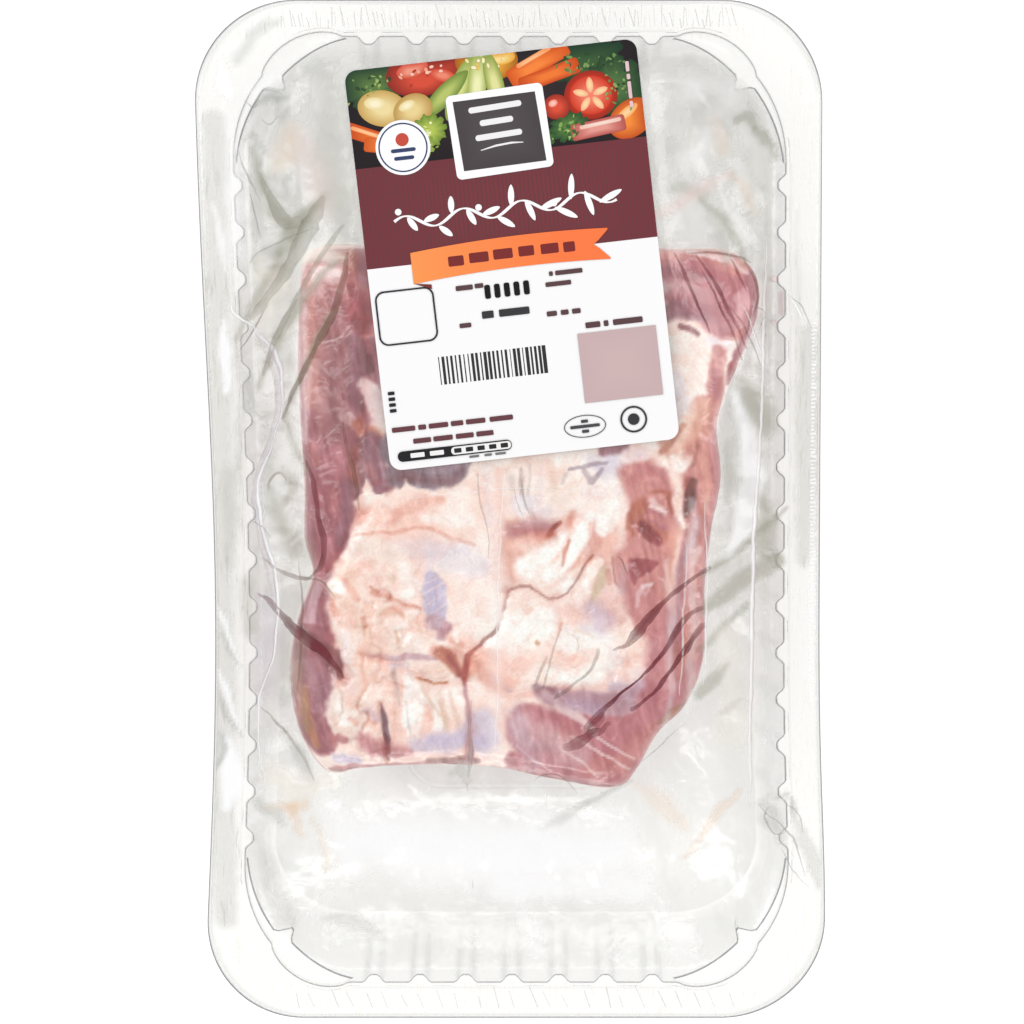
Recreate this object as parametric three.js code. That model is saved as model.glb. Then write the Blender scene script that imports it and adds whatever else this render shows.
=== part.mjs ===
// Pork belly in a clear fluted tray, under a sealed film lid with a paper label on it.
// Millimetres, +Z up, +X to the right of the label's reader and +Y towards the label's end.
// The origin is under the middle of the pack, on the surface that it stands on.
import * as THREE from "three";

// The tray
const TRAY_WIDTH = 160;
const TRAY_LENGTH = 262;
const TRAY_HEIGHT = 40;
const TRAY_WALL = 0.6;
const FLANGE_WIDTH = 9.3;
const FLANGE_CORNER_RADIUS = 26;
const FLOOR_INSET_SIDE = 6.4; // how far the walls lean in, from the flange to the floor
const FLOOR_INSET_END = 11.8;
const WALL_FOOT_HEIGHT = 4;
const WALL_FOOT_ROUNDING = 2.2;

// The flutes, upright ribs that stand into the tray from its walls
const FLUTE_PITCH = 12;
const FLUTE_DEPTH = 2;
const FLUTE_WIDTH = 6;
const FLUTE_CREST = 2.6;
const FLUTES_LONG_SIDE = 15;
const FLUTES_SHORT_SIDE = 7;

// The crescent ledge in each corner, with the lug that parts its two halves
const LEDGE_DROP = 2.6;
const LEDGE_FALL = 0.5;
const LEDGE_LONG_SIDE = 1.7;
const LEDGE_SHORT_SIDE = 3.1;
const LEDGE_BULGE = 2.4;
const LUG_DEPTH = 2.6;

// The raised bead on the floor, a rounded rectangle
const BEAD_WIDTH = 55;
const BEAD_LENGTH = 152;
const BEAD_RADIUS = 9;
const BEAD_HEIGHT = 1.6;
const BEAD_FOOT = 2.6;

// The pull of the vacuum, which bows the tray's long sides
const LEFT_BOW = 5.3;
const LEFT_FLARE = 1.5;
const LEFT_BOW_CENTRE = -28;
const LEFT_BOW_SPREAD = 100;
const RIGHT_BOW = 1;
const RIGHT_FLARE = 1.9;
const RIGHT_FLARE_CENTRE = -105;
const RIGHT_FLARE_SPREAD = 40;

// The gap that parts neighbouring pieces
const GAP = 0.3;

// The meat
const MEAT_CENTRE = [0, -2];
const MEAT_TOP = 36.6;
const MEAT_BASE = TRAY_WALL + BEAD_HEIGHT + GAP;
const MEAT_OUTLINE = [
  [-52.5, 66],
  [-55.5, 46],
  [-55, 20],
  [-54, 5],
  [-54, -8],
  [-52, -17],
  [-55.5, -27],
  [-57.5, -36],
  [-58, -47],
  [-54.5, -61],
  [-47.5, -69.5],
  [-40, -68.3],
  [-20, -67.3],
  [-3, -68.3],
  [10, -71],
  [28.5, -73],
  [33, -68],
  [38.5, -58.5],
  [45, -52],
  [50, -40],
  [50.5, -20],
  [52, -6],
  [54.5, 8],
  [53.5, 22],
  [56, 31],
  [60, 40],
  [64, 52],
  [63.5, 61],
  [58, 66.5],
  [38, 68],
  [0, 68],
  [-34, 68.5],
];
// From the rim of the underside to the rim of the top: [share of the outline, height]
const MEAT_SIDE = [
  [0.88, MEAT_BASE],
  [0.955, 6],
  [0.99, 13],
  [1, 21],
  [0.99, 28],
  [0.955, 32.8],
];
const MEAT_SHOULDER = 0.9; // share of the outline where the top begins
const MEAT_CROWN = 1.6; // the shoulder's fall below the middle of the top
const MEAT_TOP_RINGS = 12;
// Creases between the muscles and the lobes of fat: from, over, to, half width and depth
const MEAT_CREASES = [
  { path: [[-1.5, -20], [-4, -31], [-10, -36], [-11.5, -45], [-10.5, -68]], half: 2.4, depth: 2.6 },
  { path: [[-1.5, -20], [4, -19.5], [9, -23], [15, -21], [20, -12]], half: 2.2, depth: 1.8 },
  { path: [[0, -5], [10, -5], [16, -2]], half: 4, depth: 3 },
  { path: [[-38, 50], [-37, 36], [-40, 14], [-39, 0]], half: 3, depth: 2.2 },
  { path: [[-39, 0], [-43, -9], [-48, -18], [-47, -30], [-44, -43]], half: 2.8, depth: 2 },
  { path: [[-37, 6], [-33, 4], [-28, 7], [-15, 5], [-12, 10]], half: 2.4, depth: 1.4 },
  { path: [[0, -48], [9, -45], [22, -43], [27, -35], [35, -36]], half: 2.6, depth: 1.6 },
  { path: [[-33.5, -50], [-32, -66]], half: 2.2, depth: 2.4 },
  { path: [[-11, -44], [-20, -45], [-30, -39], [-38, -37]], half: 2.4, depth: 1.8 },
  { path: [[45, 8], [45, -1]], half: 2.6, depth: 2.2 },
  { path: [[32, -3], [37, -7]], half: 3.2, depth: 1.8 },
  { path: [[31, -13], [35, -15]], half: 3, depth: 1.6 },
];
// The lumpy fields of fat: centre, reach and depth of the dimples between the lumps
const MEAT_LUMPS = [
  { centre: [-33, -30], reach: 15, depth: 1.4 },
  { centre: [-37, -55], reach: 12, depth: 1.6 },
  { centre: [22, -30], reach: 16, depth: 1.1 },
];
const LUMP_PITCH = 11;

// The film lid, heights of its lower face
const FILM_THICKNESS = 0.4;
const FILM_RIM_INSET = 0.6;
const FILM_SEAL_HEIGHT = TRAY_HEIGHT + GAP;
const FILM_LIP_INSET = 12.4; // where the film leaves the flange
const FILM_OVER_MEAT = 0.5;
const FILM_SAG = 0.016; // sag at mid span is a quarter of this times the span squared
const FILM_MOST_SAG = 13;
const FILM_SHARES_OVER_MEAT = [0.97, 0.9, 0.7, 0.35];
const FILM_SHARES_OF_SPAN = [0.9, 0.76, 0.6, 0.44, 0.28, 0.12]; // from the lip down to the meat
const FILM_FOLD = 0.8; // height of the folds that run to the tray's corners

// The label
const LABEL_WIDTH = 74.6;
const LABEL_LENGTH = 102.8;
const LABEL_THICKNESS = 0.3;
const LABEL_RADIUS = 3;
const LABEL_CENTRE = [0.2, 66];
const LABEL_TURN = 6.5;
const LABEL_LOW_Y = 15; // its lower edge lies on the meat, its upper edge at the flange
const LABEL_HIGH_Y = 118.5;
const LABEL_HELD_MARGIN = 3; // the film is flat under the label and a little round it
const LABEL_EASE = 18;

// How finely the shapes are divided
const STEPS_LONG_SIDE = 14;
const STEPS_SHORT_SIDE = 8;
const STEPS_CORNER = 7;
const LEDGE_SHARES = [0, 0.1, 0.22, 0.34, 0.43, 0.47, 0.5, 0.53, 0.57, 0.66, 0.78, 0.9, 1];
const BEAD_CORNER_STEPS = 5;

const HALF_WIDTH = TRAY_WIDTH / 2;
const HALF_LENGTH = TRAY_LENGTH / 2;
// The corners of every ring begin where the fluted stretches end
const CORNER_Y = (FLUTES_LONG_SIDE * FLUTE_PITCH) / 2;
const CORNER_X = (FLUTES_SHORT_SIDE * FLUTE_PITCH) / 2;

const clamp = THREE.MathUtils.clamp;
const lerp = THREE.MathUtils.lerp;
const bell = (x) => Math.exp(-x * x);

// ---- Plan outlines ----

// A corner in the first quadrant, from the long side (share 0) to the short side (share 1):
// a straight stretch, an arc and a straight stretch.
function cornerPoint(halfWidth, halfLength, radius, share) {
  const rx = Math.min(radius, halfWidth - CORNER_X);
  const ry = Math.min(radius, halfLength - CORNER_Y);
  const first = halfLength - ry - CORNER_Y;
  const arc = ((rx + ry) / 2) * (Math.PI / 2);
  const last = halfWidth - rx - CORNER_X;
  const way = share * (first + arc + last);
  if (way < first) return [halfWidth, CORNER_Y + way];
  if (way > first + arc) return [halfWidth - rx - (way - first - arc), halfLength];
  const angle = (((way - first) / arc) * Math.PI) / 2;
  return [halfWidth - rx + rx * Math.cos(angle), halfLength - ry + ry * Math.sin(angle)];
}

// A stop is a place on the perimeter that every ring shares: at(halfWidth, halfLength, radius)
// gives its point on a ring. corner is its share of a corner, or null on a straight side.
function sideStop(isLongSide, sign, along, onFlute = false) {
  const at = (halfWidth, halfLength) =>
    isLongSide ? [sign * halfWidth, along] : [along, sign * halfLength];
  return { at, corner: null, onFlute };
}

function cornerStop(signX, signY, share) {
  const at = (halfWidth, halfLength, radius) => {
    const [x, y] = cornerPoint(halfWidth, halfLength, radius, share);
    return [signX * x, signY * y];
  };
  return { at, corner: share, onFlute: false };
}

// All stops, anticlockwise from the lower end of the right side. alongSide gives the stops of a
// straight side in the order of travel, and cornerShares those of a corner with both its ends.
function perimeter(alongSide, cornerShares) {
  const fromShort = [...cornerShares].reverse();
  return [
    ...alongSide(true, 1),
    ...cornerShares.map((share) => cornerStop(1, 1, share)),
    ...alongSide(false, 1),
    ...fromShort.map((share) => cornerStop(-1, 1, share)),
    ...alongSide(true, -1),
    ...cornerShares.map((share) => cornerStop(-1, -1, share)),
    ...alongSide(false, -1),
    ...fromShort.map((share) => cornerStop(1, -1, share)),
  ];
}

// +Y on the right side, -X on the far side, -Y on the left side and +X on the near side
const travel = (isLongSide, sign) => (isLongSide ? sign : -sign);

// Four stops for each flute: its two feet and the two edges of its crest
function flutedSide(isLongSide, sign) {
  const count = isLongSide ? FLUTES_LONG_SIDE : FLUTES_SHORT_SIDE;
  const stops = [];
  for (let i = 0; i < count; i++) {
    const centre = (i - (count - 1) / 2) * FLUTE_PITCH;
    const places = [-FLUTE_WIDTH / 2, -FLUTE_CREST / 2, FLUTE_CREST / 2, FLUTE_WIDTH / 2];
    places.forEach((offset, k) => {
      const along = travel(isLongSide, sign) * (centre + offset);
      stops.push(sideStop(isLongSide, sign, along, k === 1 || k === 2));
    });
  }
  return stops;
}

function evenSide(isLongSide, sign) {
  const steps = isLongSide ? STEPS_LONG_SIDE : STEPS_SHORT_SIDE;
  const end = isLongSide ? CORNER_Y : CORNER_X;
  const stops = [];
  for (let i = 1; i < steps; i++) {
    const along = travel(isLongSide, sign) * lerp(-end, end, i / steps);
    stops.push(sideStop(isLongSide, sign, along));
  }
  return stops;
}

// The vacuum's pull moves a plan point sideways, the more the nearer it is to a long side
function pulled([x, y]) {
  const leftPull =
    LEFT_BOW * bell((y - LEFT_BOW_CENTRE) / LEFT_BOW_SPREAD) - LEFT_FLARE;
  const rightPull =
    RIGHT_FLARE * bell((y - RIGHT_FLARE_CENTRE) / RIGHT_FLARE_SPREAD) - RIGHT_BOW;
  const pull = x < 0 ? leftPull : rightPull;
  return [x + (pull * Math.abs(x)) / HALF_WIDTH, y];
}

// ---- Meshes ----

// Gathers a closed body from points and triangles
class Body {
  positions = [];
  faces = [];

  point(x, y, z) {
    this.positions.push(x, y, z);
    return this.positions.length / 3 - 1;
  }

  // A triangle seen anticlockwise from outside, or clockwise where flip is true
  face(a, b, c, flip = false) {
    this.faces.push(a, ...(flip ? [c, b] : [b, c]));
  }

  // A band between two closed rings with as many points each
  band(outer, inner, flip = false) {
    outer.forEach((a, i) => {
      const j = (i + 1) % outer.length;
      this.face(a, outer[j], inner[j], flip);
      this.face(a, inner[j], inner[i], flip);
    });
  }

  fan(ring, centre, flip = false) {
    ring.forEach((a, i) => this.face(a, ring[(i + 1) % ring.length], centre, flip));
  }

  // A strip between two neighbouring columns of points that may differ in number
  strip(left, right, flip = false) {
    let [i, j] = [0, 0];
    while (i < left.length - 1 || j < right.length - 1) {
      const leftShare = (i + 1) / (left.length - 1);
      const rightShare = (j + 1) / (right.length - 1);
      const onLeft = j === right.length - 1 || (i < left.length - 1 && leftShare < rightShare);
      if (onLeft) this.face(left[i], right[j], left[++i], flip);
      else this.face(left[i], right[j], right[++j], flip);
    }
  }

  // The flat between a ring and the rings inside it
  flat(ring, holes, flip = false) {
    const plan = (i) => new THREE.Vector2(this.positions[3 * i], this.positions[3 * i + 1]);
    const all = [ring, ...holes].flat();
    const contours = [ring, ...holes].map((r) => r.map(plan));
    const triangles = THREE.ShapeUtils.triangulateShape(contours[0], contours.slice(1));
    const area = (a, b, c) => {
      const [p, q, r] = [a, b, c].map(plan);
      return (q.x - p.x) * (r.y - p.y) - (r.x - p.x) * (q.y - p.y);
    };
    for (const [a, b, c] of triangles) {
      const turned = area(all[a], all[b], all[c]) < 0;
      this.face(all[a], all[b], all[c], turned !== flip);
    }
  }

  mesh(name, colour, roughness) {
    const geometry = new THREE.BufferGeometry();
    geometry.setAttribute("position", new THREE.Float32BufferAttribute(this.positions, 3));
    geometry.setIndex(this.faces);
    geometry.computeVertexNormals();
    const material = new THREE.MeshStandardMaterial({ color: colour, roughness, metalness: 0 });
    const mesh = new THREE.Mesh(geometry, material);
    mesh.name = name;
    return mesh;
  }
}

// ---- Tray ----

// How far a corner's flange edge stands out, and its ledge in, on the way round the corner
function ledgeBulge(share) {
  return LEDGE_BULGE * Math.sin(Math.PI * clamp((share - 0.48) / 0.5, 0, 1)) ** 0.6;
}

function ledgeWidth(share) {
  const width = share < 0.5 ? LEDGE_LONG_SIDE : LEDGE_SHORT_SIDE;
  const lug = LUG_DEPTH * clamp(1 - Math.abs(share - 0.5) / 0.05, 0, 1);
  return 0.5 + width * Math.sin(Math.PI * share) + lug;
}

// The tray's section at a stop, from the flange's rim to the floor. The underside lies a wall's
// thickness further out and lower.
function trayColumn(body, stop, under) {
  const wall = under ? TRAY_WALL : 0;
  const flute = stop.onFlute ? FLUTE_DEPTH : 0;
  const column = [];
  const add = (insetX, insetY, radius, height) => {
    const plan = pulled(stop.at(HALF_WIDTH - insetX, HALF_LENGTH - insetY, radius));
    column.push(body.point(...plan, height));
  };
  add(0, 0, FLANGE_CORNER_RADIUS, TRAY_HEIGHT - wall);
  const bulge = stop.corner === null ? 0 : ledgeBulge(stop.corner);
  const edge = FLANGE_WIDTH + flute - bulge - wall;
  add(edge, edge, Infinity, TRAY_HEIGHT - wall);
  if (stop.corner !== null) {
    const ledge = FLANGE_WIDTH + ledgeWidth(stop.corner) - wall;
    const draft = 0.4;
    add(edge + draft, edge + draft, Infinity, TRAY_HEIGHT - LEDGE_DROP - wall);
    add(ledge, ledge, Infinity, TRAY_HEIGHT - LEDGE_DROP - LEDGE_FALL - wall);
  }
  const foot = FLANGE_WIDTH + 0.7 * flute - wall - WALL_FOOT_ROUNDING;
  add(foot + FLOOR_INSET_SIDE, foot + FLOOR_INSET_END, Infinity, WALL_FOOT_HEIGHT);
  const floor = FLANGE_WIDTH - 0.4 * wall;
  add(floor + FLOOR_INSET_SIDE, floor + FLOOR_INSET_END, Infinity, TRAY_WALL - wall);
  return column;
}

function beadRing(body, grow, height) {
  const ring = [];
  const radius = BEAD_RADIUS + grow;
  const x = BEAD_WIDTH / 2 - BEAD_RADIUS;
  const y = BEAD_LENGTH / 2 - BEAD_RADIUS;
  for (let k = 0; k < 4; k++) {
    const [signX, signY] = [[1, 1], [-1, 1], [-1, -1], [1, -1]][k];
    for (let i = 0; i <= BEAD_CORNER_STEPS; i++) {
      const angle = ((k + i / BEAD_CORNER_STEPS) * Math.PI) / 2;
      const plan = [signX * x + radius * Math.cos(angle), signY * y + radius * Math.sin(angle)];
      ring.push(body.point(...plan, height));
    }
  }
  return ring;
}

function makeTray() {
  const body = new Body();
  const stops = perimeter(flutedSide, LEDGE_SHARES);
  const rims = [];
  for (const under of [false, true]) {
    const columns = stops.map((stop) => trayColumn(body, stop, under));
    columns.forEach((column, i) => {
      body.strip(column, columns[(i + 1) % columns.length], under);
    });
    const low = under ? 0 : TRAY_WALL;
    const beads = [BEAD_FOOT / 2, 0, -BEAD_FOOT / 2].map((grow, i) =>
      beadRing(body, grow, low + (i === 1 ? BEAD_HEIGHT : 0)),
    );
    body.flat(columns.map((column) => column.at(-1)), [beads[0]], under);
    body.band(beads[0], beads[1], under);
    body.band(beads[1], beads[2], under);
    body.flat(beads[2], [], under);
    rims.push(columns.map((column) => column[0]));
  }
  body.band(rims[1], rims[0]);
  return body.mesh("tray", 0xe6eae6, 0.15);
}

// ---- Meat ----

// The outline's points on the rays from the meat's centre to a ring of stops
const outlineCurve = new THREE.CatmullRomCurve3(
  MEAT_OUTLINE.map(([x, y]) => new THREE.Vector3(x, y, 0)),
  true,
  "centripetal",
);
const outlinePoints = outlineCurve.getPoints(40 * MEAT_OUTLINE.length);

function meatEdgeTowards([x, y]) {
  const way = Math.atan2(y - MEAT_CENTRE[1], x - MEAT_CENTRE[0]);
  let best = null;
  let least = Infinity;
  for (const p of outlinePoints) {
    const angle = Math.atan2(p.y - MEAT_CENTRE[1], p.x - MEAT_CENTRE[0]);
    const apart = Math.abs(Math.atan2(Math.sin(angle - way), Math.cos(angle - way)));
    if (apart < least) [least, best] = [apart, p];
  }
  return [best.x, best.y];
}

const meatPlan = (edge, share) => [
  lerp(MEAT_CENTRE[0], edge[0], share),
  lerp(MEAT_CENTRE[1], edge[1], share),
];

// The smooth top that the film rests on, without its creases
const meatTop = (share) => MEAT_TOP - MEAT_CROWN * (share / MEAT_SHOULDER) ** 4;

function distanceToPath([x, y], path) {
  let least = Infinity;
  for (let i = 1; i < path.length; i++) {
    const [[ax, ay], [bx, by]] = [path[i - 1], path[i]];
    const [dx, dy] = [bx - ax, by - ay];
    const t = clamp(((x - ax) * dx + (y - ay) * dy) / (dx * dx + dy * dy), 0, 1);
    least = Math.min(least, Math.hypot(x - ax - t * dx, y - ay - t * dy));
  }
  return least;
}

// How deep the meat lies below its smooth top
function meatRelief(plan) {
  let depth = 0;
  for (const crease of MEAT_CREASES) {
    depth = Math.max(depth, crease.depth * bell(distanceToPath(plan, crease.path) / crease.half));
  }
  for (const lumps of MEAT_LUMPS) {
    const [x, y] = [plan[0] - lumps.centre[0], plan[1] - lumps.centre[1]];
    const wave =
      Math.abs(Math.sin((Math.PI * (x + 0.4 * y)) / LUMP_PITCH)) *
      Math.abs(Math.sin((Math.PI * (y - 0.3 * x)) / LUMP_PITCH));
    depth += lumps.depth * (1 - wave) * bell(Math.hypot(x, y) / lumps.reach);
  }
  return depth;
}

// Rays from the meat's centre, which its rings and the film's rings share
const rays = perimeter(
  evenSide,
  Array.from({ length: STEPS_CORNER + 1 }, (_, i) => i / STEPS_CORNER),
).map((stop) => {
  const lip = pulled(stop.at(HALF_WIDTH - FILM_LIP_INSET, HALF_LENGTH - FILM_LIP_INSET, Infinity));
  const inset = FILM_RIM_INSET;
  const rim = pulled(stop.at(HALF_WIDTH - inset, HALF_LENGTH - inset, FLANGE_CORNER_RADIUS));
  return { lip, rim, edge: meatEdgeTowards(lip), corner: stop.corner };
});

function makeMeat() {
  const body = new Body();
  const ring = (share, height) =>
    rays.map(({ edge }) => {
      const plan = meatPlan(edge, share);
      return body.point(...plan, height ?? meatTop(share) - meatRelief(plan));
    });
  const sides = MEAT_SIDE.map(([share, height]) => ring(share, height));
  const tops = Array.from({ length: MEAT_TOP_RINGS }, (_, i) =>
    ring(MEAT_SHOULDER * (1 - i / MEAT_TOP_RINGS)),
  );
  const rings = [...sides, ...tops];
  for (let i = 1; i < rings.length; i++) body.band(rings[i - 1], rings[i]);
  const top = body.point(...MEAT_CENTRE, MEAT_TOP - meatRelief(MEAT_CENTRE));
  body.fan(rings.at(-1), top);
  const base = body.point(...MEAT_CENTRE, MEAT_BASE);
  body.fan(rings[0], base, true);
  return body.mesh("pork_belly", 0xd9a7a4, 0.45);
}

// ---- Label ----

const labelTurn = THREE.MathUtils.degToRad(LABEL_TURN);
const labelSlope =
  (FILM_SEAL_HEIGHT - MEAT_TOP - FILM_OVER_MEAT) / (LABEL_HIGH_Y - LABEL_LOW_Y);

// The height of the label's lower face at a place along Y
const labelHeight = (y) =>
  MEAT_TOP + FILM_OVER_MEAT + FILM_THICKNESS + GAP + labelSlope * (y - LABEL_LOW_Y);

// 1 on the label's footprint and easing to 0 round it
function underLabel([x, y]) {
  const [dx, dy] = [x - LABEL_CENTRE[0], y - LABEL_CENTRE[1]];
  const across = dx * Math.cos(labelTurn) + dy * Math.sin(labelTurn);
  const along = dy * Math.cos(labelTurn) - dx * Math.sin(labelTurn);
  const outX = Math.max(Math.abs(across) - LABEL_WIDTH / 2, 0);
  const outY = Math.max(Math.abs(along) - LABEL_LENGTH / 2, 0);
  const out = Math.hypot(outX, outY) - LABEL_HELD_MARGIN;
  return 1 - THREE.MathUtils.smoothstep(out, 0, LABEL_EASE);
}

function makeLabel() {
  const [w, h, r] = [LABEL_WIDTH / 2, LABEL_LENGTH / 2, LABEL_RADIUS];
  const outline = new THREE.Shape();
  outline.moveTo(-w + r, -h);
  outline.lineTo(w - r, -h).absarc(w - r, -h + r, r, -Math.PI / 2, 0);
  outline.lineTo(w, h - r).absarc(w - r, h - r, r, 0, Math.PI / 2);
  outline.lineTo(-w + r, h).absarc(-w + r, h - r, r, Math.PI / 2, Math.PI);
  outline.lineTo(-w, -h + r).absarc(-w + r, -h + r, r, Math.PI, 1.5 * Math.PI);
  const plate = { depth: LABEL_THICKNESS, bevelEnabled: false, curveSegments: 5 };
  const geometry = new THREE.ExtrudeGeometry(outline, plate);
  const material = new THREE.MeshStandardMaterial({
    color: 0xf7f5f2,
    roughness: 0.6,
    metalness: 0,
  });
  const label = new THREE.Mesh(geometry, material);
  label.name = "label";
  label.rotation.z = labelTurn;
  // The label is turned flat first and then leans up with the film
  const lean = new THREE.Group();
  lean.add(label);
  lean.position.set(...LABEL_CENTRE, labelHeight(LABEL_CENTRE[1]));
  lean.rotation.x = Math.atan(labelSlope);
  return lean;
}

// ---- Film lid ----

// Height of the film's lower face over the well between the meat and the flange
function filmOverWell(share, edgeHeight, span, ray) {
  const straight = lerp(edgeHeight, FILM_SEAL_HEIGHT, share);
  const sag = 4 * share * (1 - share) * Math.min((FILM_SAG * span * span) / 4, FILM_MOST_SAG);
  const fold = ray.corner === null ? 0 : FILM_FOLD * Math.cos(STEPS_CORNER * Math.PI * ray.corner);
  return straight - sag + fold * Math.sin(Math.PI * share);
}

const heldByLabel = (plan, height) => {
  const held = labelHeight(plan[1]) - GAP - FILM_THICKNESS;
  return lerp(height, held, underLabel(plan));
};

function makeFilm() {
  const body = new Body();
  const rims = [];
  for (const lift of [FILM_THICKNESS, 0]) {
    const under = lift === 0;
    const rim = rays.map((ray) => body.point(...ray.rim, FILM_SEAL_HEIGHT + lift));
    const lip = rays.map((ray) => body.point(...ray.lip, FILM_SEAL_HEIGHT + lift));
    const [firstShare] = FILM_SHARES_OVER_MEAT;
    const edgeHeight = meatTop(MEAT_SHOULDER) - 1.8 + FILM_OVER_MEAT;
    const wells = FILM_SHARES_OF_SPAN.map((share) =>
      rays.map((ray) => {
        const edge = meatPlan(ray.edge, firstShare);
        const span = Math.hypot(ray.lip[0] - edge[0], ray.lip[1] - edge[1]);
        const plan = [lerp(edge[0], ray.lip[0], share), lerp(edge[1], ray.lip[1], share)];
        const height = filmOverWell(share, edgeHeight, span, ray);
        return body.point(...plan, heldByLabel(plan, height) + lift);
      }),
    );
    const overMeat = FILM_SHARES_OVER_MEAT.map((share) =>
      rays.map(({ edge }) => {
        const plan = meatPlan(edge, share);
        const height = share === firstShare ? edgeHeight : meatTop(share) + FILM_OVER_MEAT;
        return body.point(...plan, heldByLabel(plan, height) + lift);
      }),
    );
    const rings = [rim, lip, ...wells, ...overMeat];
    for (let i = 1; i < rings.length; i++) body.band(rings[i - 1], rings[i], under);
    const middle = body.point(...MEAT_CENTRE, MEAT_TOP + FILM_OVER_MEAT + lift);
    body.fan(rings.at(-1), middle, under);
    rims.push(rim);
  }
  body.band(rims[1], rims[0]);
  return body.mesh("lid_film", 0xf2f4f2, 0.1);
}

const pack = new THREE.Group();
pack.add(makeTray(), makeMeat(), makeFilm(), makeLabel());

// The bow makes the outline lopsided, so the pack is moved back to the middle
const reach = new THREE.Box3().setFromObject(pack);
pack.position.x = -(reach.min.x + reach.max.x) / 2;

export default pack;
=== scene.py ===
# Looks of a pack of pork belly: a clear fluted tray, the meat, a sealed film lid and a label.
# Sizes are millimetres; meshes are turned to metres when they are made.
import math
import bpy
import numpy as np
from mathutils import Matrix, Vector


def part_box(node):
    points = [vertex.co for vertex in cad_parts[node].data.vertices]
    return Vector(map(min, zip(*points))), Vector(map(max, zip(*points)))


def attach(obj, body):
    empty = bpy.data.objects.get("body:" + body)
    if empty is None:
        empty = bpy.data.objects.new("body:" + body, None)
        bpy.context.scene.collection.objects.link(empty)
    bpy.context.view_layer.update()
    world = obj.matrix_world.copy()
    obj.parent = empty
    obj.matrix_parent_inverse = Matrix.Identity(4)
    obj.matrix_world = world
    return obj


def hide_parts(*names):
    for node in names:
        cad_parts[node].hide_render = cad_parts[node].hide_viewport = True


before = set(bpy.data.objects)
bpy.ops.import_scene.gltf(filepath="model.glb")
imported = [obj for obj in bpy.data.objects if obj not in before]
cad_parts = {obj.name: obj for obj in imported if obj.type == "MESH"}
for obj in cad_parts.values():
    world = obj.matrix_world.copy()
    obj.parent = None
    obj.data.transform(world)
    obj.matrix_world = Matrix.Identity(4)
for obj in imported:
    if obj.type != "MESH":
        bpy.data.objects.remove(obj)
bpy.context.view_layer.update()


# ---- Camera, floor and lights ----
# A plain near-white floor under wide soft lamps, and a camera that looks almost straight down,
# a little from the upper end of the pack, so that the lower wall of the tray shows its inner face.
MM = 0.001
CAMERA_DISTANCE = 1200
CAMERA_LEAN = math.radians(5)
CAMERA_TARGET = (-0.1, 0.4, 40)
PHOTO_SPAN = 262.56  # what the picture's side covers at the height of the rim

scene = bpy.context.scene
camera = bpy.data.objects.new("camera", bpy.data.cameras.new("camera"))
camera.data.sensor_width = 36
camera.data.lens = 36 * CAMERA_DISTANCE / PHOTO_SPAN
camera.data.clip_end = 20
away = CAMERA_DISTANCE * np.array((0, math.sin(CAMERA_LEAN), math.cos(CAMERA_LEAN)))
camera.location = (CAMERA_TARGET + away) * MM
camera.rotation_euler = (-CAMERA_LEAN, 0, 0)
scene.collection.objects.link(camera)
scene.camera = camera


def colour(hex_code):
    parts = [int(hex_code[i : i + 2], 16) / 255 for i in (1, 3, 5)]
    linear = [c / 12.92 if c <= 0.04045 else ((c + 0.055) / 1.055) ** 2.4 for c in parts]
    return (*linear, 1.0)


def add_node(tree, kind, settings=None, links=None):
    """A node. Capitalised or numbered settings are input values, the others its own fields.

    A link comes from an output, or from a node, which stands for its first output.
    """
    node = tree.nodes.new(kind)
    for key, value in (settings or {}).items():
        if isinstance(key, int) or key[0].isupper():
            node.inputs[key].default_value = value
        else:
            setattr(node, key, value)
    for key, source in (links or {}).items():
        tree.links.new(getattr(source, "outputs", [source])[0], node.inputs[key])
    return node


def new_material(name):
    material = bpy.data.materials.new(name)
    material.use_nodes = True
    material.node_tree.nodes.clear()
    return material, material.node_tree


def set_surface(tree, shader):
    add_node(tree, "ShaderNodeOutputMaterial", links={"Surface": shader})


def new_object(name, points, faces, material, smooth=True):
    """A mesh object from points in millimetres."""
    mesh = bpy.data.meshes.new(name)
    mesh.from_pydata((np.asarray(points, float) * MM).tolist(), [], faces)
    mesh.polygons.foreach_set("use_smooth", [smooth] * len(mesh.polygons))
    mesh.update()
    mesh.materials.append(material)
    piece = bpy.data.objects.new(name, mesh)
    scene.collection.objects.link(piece)
    return piece


# Matt white laminate: a little light of its own keeps it white under the pack as well
laminate, tree = new_material("matt white laminate")
scatter = add_node(tree, "ShaderNodeBsdfDiffuse", {"Color": colour("#f1f1ef")})
glow = add_node(tree, "ShaderNodeEmission", {"Color": colour("#ffffff"), "Strength": 0.25})
set_surface(tree, add_node(tree, "ShaderNodeAddShader", links={0: scatter, 1: glow}))
FLOOR_HALF = 1500
FLOOR_DROP = 0.2
corners = [(x * FLOOR_HALF, y * FLOOR_HALF, -FLOOR_DROP) for x, y in ((-1, -1), (1, -1), (1, 1), (-1, 1))]
floor = new_object("floor", corners, [(0, 1, 2, 3)], laminate)

world = bpy.data.worlds.new("studio")
scene.world = world
world.use_nodes = True
backdrop = world.node_tree.nodes["Background"].inputs
backdrop["Color"].default_value = colour("#fbfbfd")
backdrop["Strength"].default_value = 0.66


def add_lamp(name, place, size, watts):
    lamp = bpy.data.objects.new(name, bpy.data.lights.new(name, "AREA"))
    lamp.data.shape = "RECTANGLE"
    lamp.data.size, lamp.data.size_y = size[0] * MM, size[1] * MM
    lamp.data.energy = watts
    lamp.location = [c * MM for c in place]
    lamp.rotation_euler = (-lamp.location).to_track_quat("-Z", "Y").to_euler()
    scene.collection.objects.link(lamp)


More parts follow.
